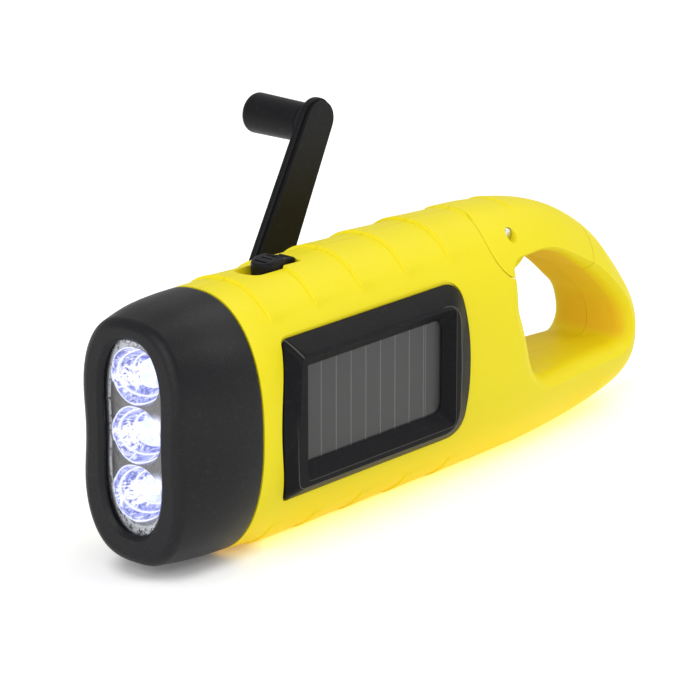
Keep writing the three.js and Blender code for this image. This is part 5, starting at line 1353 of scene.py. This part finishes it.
def parabola(front_radius, rear_radius, front_y, rear_y):
    shares = np.linspace(0, 1, CUP_STEPS + 1)
    radii = np.sqrt(rear_radius**2 + (front_radius**2 - rear_radius**2) * (1 - shares))
    return [(front_y + (rear_y - front_y) * s, r) for s, r in zip(shares, radii)]


RIM_INNER, RIM_CREST_INNER, RIM_CREST_OUTER, RIM_OUTER = -1.05, -0.95, -0.45, -0.3
RIM_HEIGHT, RIM_ROOT = 0.25, 0.2
plate = rolled("cup_plate", [
    window_ring(CUP_PLATE_Y + depth, LENS_LIP, LENS_SECTORS) for depth in (0, CUP_PLATE)
])
rim_rings = [window_ring(CUP_PLATE_Y + depth, margin, LENS_SECTORS) for depth, margin in (
    (RIM_ROOT, RIM_OUTER), (0.0, RIM_OUTER), (-RIM_HEIGHT, RIM_CREST_OUTER),
    (-RIM_HEIGHT, RIM_CREST_INNER), (0.0, RIM_INNER), (RIM_ROOT, RIM_INNER),
)]
joined(plate, rolled("plate_rim", rim_rings, closed_rows=True))
cup_rear = CUP_PLATE_Y + CUP_DEPTH
for z in lamp_places:
    shell = parabola(CUP_RADIUS + CUP_WALL, CUP_THROAT + CUP_WALL, CUP_PLATE_Y + 0.05, cup_rear)
    joined(plate, turned("cup_outside", shell, (0, z), ALONG))
for z in lamp_places:
    inside = parabola(CUP_RADIUS, CUP_THROAT, CUP_PLATE_Y, cup_rear)
    inside = [(CUP_PLATE_Y - 1, CUP_RADIUS)] + inside + [(cup_rear + 1, CUP_THROAT)]
    cut(plate, turned("cup_inside", inside, (0, z), ALONG))
finished(plate, "reflector_cups", "body", "reflector_chrome", "reflector")

# %% [markdown]
# A lamp is a round of 5 mm with a flange at its base and a dome in front. It is drawn as half of its
# outline and turned, once for each cup.

# %% Lamps
BOARD_THICKNESS = 1.6
LAMP_REAR_Y = NECK_FRONT_Y - GAP - BOARD_THICKNESS - GAP
LAMP_RADIUS = 2.5
LAMP_FLANGE_RADIUS, LAMP_FLANGE_LENGTH = 2.9, 1.0
LAMP_LENGTH = 7.6
LAMP_FACETS = 40
DOME_STEPS = 8
flange_y = LAMP_REAR_Y - LAMP_FLANGE_LENGTH
dome_y = LAMP_REAR_Y - LAMP_LENGTH + LAMP_RADIUS
profile = [(LAMP_REAR_Y, LAMP_FLANGE_RADIUS), (flange_y, LAMP_FLANGE_RADIUS), (flange_y, LAMP_RADIUS)]
for k in range(DOME_STEPS):
    angle = k / DOME_STEPS * math.pi / 2
    profile.append((dome_y - LAMP_RADIUS * math.sin(angle), LAMP_RADIUS * math.cos(angle)))
for k, z in enumerate(lamp_places):
    lamp = turned("lamp", profile, (0, z), ALONG, LAMP_FACETS)
    finished(lamp, f"lamp_{k + 1}", "body", "led_lit", f"led_{k + 1}")

# %% [markdown]
# ## The solar panel in its frame
#
# The frame stands proud of the right shell. Its outside rises in broad bevels to a narrow crest, and
# inside the crest it slopes down to the panel. The outer form is rolled from rings round the frame,
# the seat and the sloping opening are cut from it, and then all its sharp edges are rounded a little.

# %% Frame and panel
CREST_X = 16.6
FRAME_PROUD = 0.15
PANEL_FRONT_Y, PANEL_REAR_Y = -41.4, -1.3
PANEL_BOTTOM_Z, PANEL_TOP_Z = 14.1, 35.7
PANEL_TOP_X = FRAME_BASE_X + 1.5
PANEL_CORNER = 2.5
CORNER_STEPS = 10
LOW_OPENING = (-39.9, -2.2, 16.2, 33.7, 2.2)
HIGH_OPENING = (-40.6, -0.4, 13.6, 35.9, 1.2)
RIM_SLOPES = [(0.03, 0.09), (0.5, 0.6), (0.9, 0.955), (1.0, 1.0)]
CREST_INSET, CREST_REAR_INSET, CREST_FRONT_INSET = 2.5, 4.0, 0.7
FRAME_BEVEL, FRAME_BEVEL_ANGLE = 0.18, math.radians(24)
PANEL_BEVEL = 0.12


def oblong(y0, y1, z0, z1, radius):
    """A rectangle seen from the side, with round corners."""
    corners = [(y0, z1, radius), (y0, z0, radius), (y1, z0, radius), (y1, z1, radius)]
    return rounded_outline(corners, CORNER_STEPS)


def panel_outline(grow):
    return oblong(PANEL_FRONT_Y - grow, PANEL_REAR_Y + grow,
                  PANEL_BOTTOM_Z - grow, PANEL_TOP_Z + grow, PANEL_CORNER)


def side_ring(points, x):
    """A ring of (y, z) points, at one x or with an x of its own for each."""
    return np.column_stack([np.broadcast_to(x, len(points)), points])


def frame_ring(share, x_share, shoulder):
    """A ring between the shoulder and the crest of the frame."""
    front_bow = FRAME_FRONT_BOW + (GAP - FRAME_FRONT_BOW) * share
    rear_bow = FRAME_REAR_BOW + (GAP - FRAME_REAR_BOW) * share
    points = frame_outline(
        -CREST_INSET * share, -CREST_REAR_INSET * share, -CREST_FRONT_INSET * share, front_bow, rear_bow
    )
    return side_ring(points, shoulder + (CREST_X - shoulder) * x_share)


base = frame_outline(0)
shoulder = np.array([skin_half_width(y, z) for y, z in base]) + FRAME_PROUD
rings = [side_ring(base, FRAME_BASE_X), side_ring(base, shoulder)]
rings += [frame_ring(share, x_share, shoulder) for share, x_share in RIM_SLOPES]
frame_body = rolled("solar_rim", rings)
low_opening = oblong(*LOW_OPENING)
high_opening = oblong(*HIGH_OPENING)
slope = rolled("slope", [side_ring(outline, x) for outline, x in (
    (low_opening, FRAME_BASE_X), (low_opening, PANEL_TOP_X + 0.4), (high_opening, CREST_X - 0.05),
    (high_opening, CREST_X + OVERRUN),
)])
cut(
    frame_body,
    side_plate("panel_seat", panel_outline(GAP), FRAME_BASE_X - OVERRUN, PANEL_TOP_X + GAP),
    slope,
)
bevelled(frame_body, FRAME_BEVEL, angle=FRAME_BEVEL_ANGLE)
finished(frame_body, "solar_rim", "body", "frame_black", "solar_frame")
panel = bevelled(side_plate("panel", panel_outline(0), FRAME_BASE_X, PANEL_TOP_X), PANEL_BEVEL, 2)
finished(panel, "solar_sheet", "body", "solar_panel", "solar_panel")

# %% [markdown]
# ## The slide button
#
# The button is a pad with three slots across it for the thumb. Behind, it narrows to a neck that slopes
# down to a small foot bar. Its side view and its plan are both simple, so one block is cut to its side
# view and then to its plan, its edges are rounded broadly, and the slots are cut last to stay crisp.

# %% Slide button
BUTTON_BOTTOM_Z = 45.9
BUTTON_FRONT_Z = 48.3
BUTTON_NECK_Z = 48.6
BUTTON_REAR_Z = 48.0
BUTTON_PAD_LENGTH = 4.6
BUTTON_NECK_LENGTH = 5.8
BUTTON_ROUND, BUTTON_ROUND_ANGLE = 0.42, math.radians(38)
STEM_BOTTOM_Z = 42.9
BUTTON_HALF_PLAN = [
    (0.6, 0.0), (1.35, 0.18), (1.95, 0.62), (2.35, 1.3), (2.5, 2.2), (2.5, 4.1), (2.25, 4.8), (1.7, 5.8),
    (1.6, 6.6), (1.6, BUTTON_LENGTH - 0.35), (1.35, BUTTON_LENGTH),
]
GROOVE_COUNT = 3
GROOVE_START, GROOVE_PITCH = 0.9, 1.45
GROOVE_DEPTH, GROOVE_WIDTH, GROOVE_HALF_LENGTH = 0.4, 0.42, 1.35
FOOT_RADIUS, FOOT_HALF_LENGTH = 0.55, 1.75
FOOT_CHAMFER = 0.2
FOOT_Z = BUTTON_REAR_Z - 0.25
rear_y = BUTTON_FRONT_Y + BUTTON_LENGTH
side = [
    (BUTTON_FRONT_Y - GAP, BUTTON_BOTTOM_Z - 1.0), (rear_y + GAP, BUTTON_BOTTOM_Z - 1.0),
    (rear_y + GAP, BUTTON_REAR_Z), (BUTTON_FRONT_Y + BUTTON_NECK_LENGTH, BUTTON_NECK_Z),
    (BUTTON_FRONT_Y + BUTTON_PAD_LENGTH, BUTTON_TOP_Z), (BUTTON_FRONT_Y + 2.2, BUTTON_TOP_Z - 0.1),
    (BUTTON_FRONT_Y - GAP, BUTTON_FRONT_Z),
]
plan = [(x, BUTTON_FRONT_Y + y) for x, y in BUTTON_HALF_PLAN]
plan += [(-x, y) for x, y in reversed(plan)]
button = common(
    side_plate("button", side, -BUTTON_HALF_WIDTH - GAP, BUTTON_HALF_WIDTH + GAP),
    extruded("button_plan", [(x, y, BUTTON_BOTTOM_Z - 0.5) for x, y in plan], (0, 0, 4.0)),
)
bevelled(button, BUTTON_ROUND, 4, BUTTON_ROUND_ANGLE)
joined(button, block("stem", -STEM_HALF_WIDTH, STEM_HALF_WIDTH, STEM_FRONT_Y, STEM_FRONT_Y + STEM_LENGTH,
                     STEM_BOTTOM_Z, BUTTON_BOTTOM_Z + GAP))
foot_profile = [
    (-FOOT_HALF_LENGTH, FOOT_RADIUS - FOOT_CHAMFER), (-FOOT_HALF_LENGTH + FOOT_CHAMFER, FOOT_RADIUS),
    (FOOT_HALF_LENGTH - FOOT_CHAMFER, FOOT_RADIUS), (FOOT_HALF_LENGTH, FOOT_RADIUS - FOOT_CHAMFER),
]
joined(button, turned("foot", foot_profile, (rear_y - FOOT_RADIUS, FOOT_Z), facets=32))
for k in range(GROOVE_COUNT):
    y = BUTTON_FRONT_Y + GROOVE_START + k * GROOVE_PITCH
    surface = BUTTON_FRONT_Z + (BUTTON_TOP_Z - BUTTON_FRONT_Z) * (y - BUTTON_FRONT_Y) / BUTTON_PAD_LENGTH
    cut(button, block("groove", -GROOVE_HALF_LENGTH, GROOVE_HALF_LENGTH, y, y + GROOVE_WIDTH,
                      surface - GROOVE_DEPTH, BUTTON_TOP_Z + OVERRUN))
finished(button, "slide_button", "switch", "switch_black", "switch_button")

# %% [markdown]
# ## The crank
#
# The crank is easiest to draw lying along an axis, so its hub, arm and knob are drawn with the hub at
# the origin and the arm along +Y. Each is then turned and moved into place with its mesh.

# %% Crank hub
CRANK_LEAN = math.radians(62.5)
to_crank = Matrix.Translation((0, HUB_Y, HUB_Z)) @ Matrix.Rotation(CRANK_LEAN, 4, "X")
HUB_RADIUS = 9.6
HUB_BASE_X = HUB_FLOOR_X - GAP
HUB_TOP_X = -18.9
CHANNEL_FLOOR_X = HUB_BASE_X - 2.1
CHANNEL_HALF_WIDTH = 5.8
FOLD_X, FOLD_Y = -17.4, 5.0
FOLD_PIN_RADIUS = 1.2
KNUCKLE_RADIUS = 4.1
STOP_START, STOP_END = 10.0, 12.0
STOP_INNER_X = -16.2
HUB_BEVEL, HUB_BEVEL_ANGLE = 0.3, math.radians(40)
SHAFT_RADIUS, SHAFT_END_X = 3.5, -8.7
HEX_RADIUS, HEX_START_X, HEX_END_X = 3.0, -8.9, -7.0


def fold_bar(name, radius, half_length):
    """A round bar along the fold axis, which runs up and down here."""
    ends = [(-half_length, radius), (half_length, radius)]
    return turned(name, ends, (FOLD_X, FOLD_Y), UPRIGHT)


hub = bar("hub", HUB_RADIUS, HUB_TOP_X, HUB_BASE_X, 0, 0, FINE_ROUND)
joined(hub, block("stop", HUB_TOP_X, STOP_INNER_X, 0, STOP_END, -HUB_RADIUS + WALL, HUB_RADIUS - WALL))
cut(
    hub,
    block("channel", HUB_TOP_X - OVERRUN, CHANNEL_FLOOR_X, -HUB_RADIUS - OVERRUN, STOP_START,
          -CHANNEL_HALF_WIDTH, CHANNEL_HALF_WIDTH),
    fold_bar("pin_hole", FOLD_PIN_RADIUS + PLAY, HUB_RADIUS + OVERRUN),
    fold_bar("knuckle_room", KNUCKLE_RADIUS + GAP, CHANNEL_HALF_WIDTH),
)
bevelled(hub, HUB_BEVEL, angle=HUB_BEVEL_ANGLE)
joined(
    hub,
    bar("hub_shaft", SHAFT_RADIUS, HUB_BASE_X - GAP, SHAFT_END_X, 0, 0),
    bar("hub_hex", HEX_RADIUS, HEX_START_X, HEX_END_X, 0, 0, 6),
)
finished(hub, "hub_disc", "crank", "crank_black", "crank_hub", turn=to_crank)

# %% [markdown]
# The arm is a flat bar that tapers to a round tip. A lip runs round its outer face, with a slightly
# narrower step below it, and at its root a knuckle wraps the fold pin.

# %% Crank arm
ARM_INNER_X = -19.2
ARM_OUTER_X = -21.4
ARM_STEP_X = -20.0
ARM_LIP = 0.5
ARM_BASE_HALF_WIDTH = 5.2
ARM_TIP_RADIUS = 4.08
KNOB_Y = FOLD_Y + 37.9
ARM_TIP_Y = KNOB_Y + 1.0
ARM_ROUND = 0.32
COLLAR_RADIUS = 3.9
COLLAR_X = ARM_OUTER_X - 0.8
KNOB_BORE_RADIUS = 1.6


def arm_outline(inset):
    half = ARM_BASE_HALF_WIDTH - inset
    angles = np.linspace(-math.pi / 2, math.pi / 2, 33)
    radius = ARM_TIP_RADIUS - inset
    tip = [(ARM_TIP_Y + radius * math.cos(a), radius * math.sin(a)) for a in angles]
    return [(FOLD_Y, -half)] + tip + [(FOLD_Y, half)]


arm = bevelled(side_plate("arm", arm_outline(0), ARM_OUTER_X, ARM_STEP_X), ARM_ROUND)
joined(
    arm,
    side_plate("arm_step", arm_outline(ARM_LIP), ARM_STEP_X - 0.1, ARM_INNER_X),
    fold_bar("knuckle", KNUCKLE_RADIUS, ARM_BASE_HALF_WIDTH),
)
cut(arm, block("arm_under", ARM_INNER_X, CHANNEL_FLOOR_X, FOLD_Y + KNUCKLE_RADIUS, KNOB_Y,
               -ARM_BASE_HALF_WIDTH - OVERRUN, ARM_BASE_HALF_WIDTH + OVERRUN))
collar = [(ARM_OUTER_X + 0.1, COLLAR_RADIUS + 0.15), (ARM_OUTER_X - 0.15, COLLAR_RADIUS)]
collar += [(COLLAR_X + 0.2, COLLAR_RADIUS), (COLLAR_X, COLLAR_RADIUS - 0.2)]
joined(arm, turned("collar", collar, (KNOB_Y, 0)))
cut(
    arm,
    fold_bar("pin_hole", FOLD_PIN_RADIUS + PLAY, ARM_BASE_HALF_WIDTH + OVERRUN),
    bar("knob_hole", KNOB_BORE_RADIUS, COLLAR_X - OVERRUN, ARM_OUTER_X + 1.4, KNOB_Y, 0),
)
finished(arm, "arm_bar", "arm", "crank_black", "crank_arm", turn=to_crank)

# %% [markdown]
# The knob is a turned piece: a straight grip that flares very slightly and ends in a soft round.

# %% Knob
KNOB_RADIUS = 3.65
KNOB_END_RADIUS = 3.8
KNOB_ROUND, KNOB_ROUND_STEPS = 1.2, 8
KNOB_END_X = ARM_OUTER_X - 14.0
KNOB_START_X = COLLAR_X - 0.1
KNOB_BORE_DEPTH = 8.8
profile = [(KNOB_START_X, KNOB_RADIUS - 0.3), (KNOB_START_X - 0.12, KNOB_RADIUS - 0.08)]
profile.append((KNOB_START_X - 0.35, KNOB_RADIUS))
for k in range(KNOB_ROUND_STEPS + 1):
    angle = k / KNOB_ROUND_STEPS * math.pi / 2
    radius = KNOB_END_RADIUS - KNOB_ROUND * (1 - math.cos(angle))
    profile.append((KNOB_END_X + KNOB_ROUND * (1 - math.sin(angle)), radius))
knob = turned("knob", profile, (KNOB_Y, 0), facets=FINE_ROUND)
cut(knob, bar("knob_bore", KNOB_BORE_RADIUS, KNOB_START_X - KNOB_BORE_DEPTH,
              KNOB_START_X + OVERRUN, KNOB_Y, 0))
finished(knob, "knob_grip", "knob", "crank_black", "crank_knob", turn=to_crank)

# %% [markdown]
# ## Pin and screws
#
# The gate's pin is a steel rod with chamfered ends. A case screw is a pan head with a cross recess.
# The head is modelled once and copied to the four seats, and each copy gets a shank of its length.

# %% Gate pin
GATE_PIN_HALF_LENGTH, PIN_CHAMFER = 8.8, 0.25
straight = GATE_PIN_HALF_LENGTH - PIN_CHAMFER
profile = [
    (-GATE_PIN_HALF_LENGTH, GATE_PIN_RADIUS - PIN_CHAMFER), (-straight, GATE_PIN_RADIUS),
    (straight, GATE_PIN_RADIUS), (GATE_PIN_HALF_LENGTH, GATE_PIN_RADIUS - PIN_CHAMFER),
]
gate_pin = turned("gate_pin", profile, (GATE_PIN_Y, GATE_PIN_Z))
finished(gate_pin, "gate_rod", "gate", "steel", "gate_pin")

# %% Case screws
HEAD_RADIUS, HEAD_HEIGHT, SHANK_RADIUS = 2.4, 1.3, 1.1
SHANK_LENGTHS = (15.0, 15.0, 10.0, 10.0)
CROSS_HALF_WIDTH, CROSS_HALF_LENGTH, CROSS_DEPTH = 0.28, 1.35, 0.75
SCREW_FACETS = 48
head = [
    (0.3, SHANK_RADIUS), (0.0, HEAD_RADIUS), (-0.5, HEAD_RADIUS),
    (-HEAD_HEIGHT + 0.35, HEAD_RADIUS - 0.2), (-HEAD_HEIGHT, HEAD_RADIUS - 0.9),
]
screw = turned("screw", head, (0, 0), facets=SCREW_FACETS)
cross = (CROSS_HALF_WIDTH, CROSS_HALF_LENGTH)
for width, length in (cross, cross[::-1]):
    cut(screw, block("recess", -HEAD_HEIGHT - OVERRUN, -HEAD_HEIGHT + CROSS_DEPTH,
                     -length, length, -width, width))
for k, (place, tip) in enumerate(zip(screw_heads, SHANK_LENGTHS), start=1):
    twin = copied(screw, "twin")
    joined(twin, turned("shank", [(0.0, SHANK_RADIUS), (tip - 1, SHANK_RADIUS), (tip, 0.3)], (0, 0)))
    seat = Matrix.Translation(place)
    finished(twin, f"shell_screw_{k}", "body", "steel", f"case_screw_{k}", turn=seat)
bpy.data.objects.remove(screw)

# %% [markdown]
# ## Floor and light
#
# The floor is white and matt. The camera sees a little light of its own on it, so that it reads as
# white paper while the shadow stays; that light is only added to rays of the camera, mirrors and
# glass, so it casts none on the torch. Close to the body that light is orange and then yellow, as
# light that has bounced between the body and the paper is, and right under the head there is hardly
# any, so the head stands in a dark little shadow.
#
# A large soft lamp stands behind on the right, and a small one beside the torch, whose gleam lies
# along the head's shoulder. A broad one in front and the white world fill the shadows.

# %% Floor
FLOOR_COLOUR = (0.86, 0.86, 0.86)
GLOW_FAR = (0.42, 0.42, 0.42)
GLOW_ORANGE = (0.63, 0.33, 0.0)
GLOW_YELLOW = (0.77, 0.71, 0.19)
GLOW_PALE = (0.56, 0.56, 0.34)
GLOW_CONTACT = (0.08, 0.08, 0.08)
GLOW_HEAD = (0.38, 0.38, 0.38)
HEAD_SHADOW_Y = -60.0
HEAD_GLOW_END_Y = -42.0
ORANGE_REACH, YELLOW_REACH, PALE_REACH = 5.0, 9.5, 19.0
CONTACT_REACH = 8.2
TAIL_SHIFT_Y = 8.0
TAIL_SHIFT = 0.0019
bpy.ops.object.select_all(action="DESELECT")
bpy.ops.mesh.primitive_grid_add(x_subdivisions=4, y_subdivisions=4, size=6.0)
floor = bpy.context.object
floor.name = "floor"
paper = Recipe("floor", Base_Color=colour(FLOOR_COLOUR), Roughness=0.8, Specular_IOR_Level=0.1)
x, y, _ = paper.axes()
front = (HEAD_SHADOW_Y - y).at_least(0.0)
tail = (y - TAIL_SHIFT_Y).at_least(0.0)
out = (x * x + front * front).power(0.5) + TAIL_SHIFT * tail * tail
body_glow = paper.mixed(out.above(ORANGE_REACH, 1.2), GLOW_ORANGE, GLOW_YELLOW)
body_glow = paper.mixed(out.above(YELLOW_REACH, 3.5), body_glow, GLOW_PALE)
head_glow = paper.mixed(out.above(CONTACT_REACH, 2.4), GLOW_CONTACT, GLOW_HEAD)
near_glow = paper.mixed(y.above(HEAD_GLOW_END_Y, 4.0), head_glow, body_glow)
floor_glow = paper.mixed(out.above(PALE_REACH, 8.0), near_glow, GLOW_FAR)
seen = [paper.node("ShaderNodeLightPath", {}, {}, ray) for ray in (
    "Is Camera Ray", "Is Glossy Ray", "Is Transmission Ray",
)]
glow = paper.node("ShaderNodeEmission", {}, {"Color": floor_glow, "Strength": seen[0] + seen[1] + seen[2]})
paper.show(paper.node("ShaderNodeAddShader", {}, {0: Wire(paper, paper.shader.outputs[0]), 1: glow}))
floor.data.materials.append(paper.material)
print("floor:", [round(d, 1) for d in floor.dimensions], "m")

# %% Lamps and world
WORLD_STRENGTH = 0.62
RIGHT = Vector((math.cos(CAMERA_AZIMUTH), math.sin(CAMERA_AZIMUTH), 0))
AWAY = Vector((-math.sin(CAMERA_AZIMUTH), math.cos(CAMERA_AZIMUTH), 0))
UP = Vector((0, 0, 1))


def lamp_at(name, direction, distance, size, power):
    """A square lamp that looks at the middle of the picture."""
    data = bpy.data.lights.new(name, "AREA")
    data.shape = "SQUARE"
    data.size = size
    data.energy = power
    lamp = bpy.data.objects.new(name, data)
    bpy.context.scene.collection.objects.link(lamp)
    lamp.location = CAMERA_TARGET + direction.normalized() * distance
    lamp.rotation_mode = "QUATERNION"
    lamp.rotation_quaternion = direction.to_track_quat("Z", "Y")
    print(f"{name}: {power} W, {size} m wide")


lamp_at("key", RIGHT * 0.55 + AWAY * 0.45 + UP, distance=1.0, size=0.7, power=2.2)
lamp_at("side", RIGHT * 0.84 - AWAY * 0.1 + UP * 0.52, distance=1.0, size=0.3, power=1.6)
lamp_at("fill", -RIGHT * 0.5 - AWAY + UP * 0.5, distance=1.2, size=0.9, power=6.6)
world = bpy.data.worlds.new("studio")
world.use_nodes = True
background = world.node_tree.nodes["Background"]
background.inputs["Color"].default_value = (1, 1, 1, 1)
background.inputs["Strength"].default_value = WORLD_STRENGTH
bpy.context.scene.world = world
bpy.context.scene.view_settings.view_transform = "Standard"
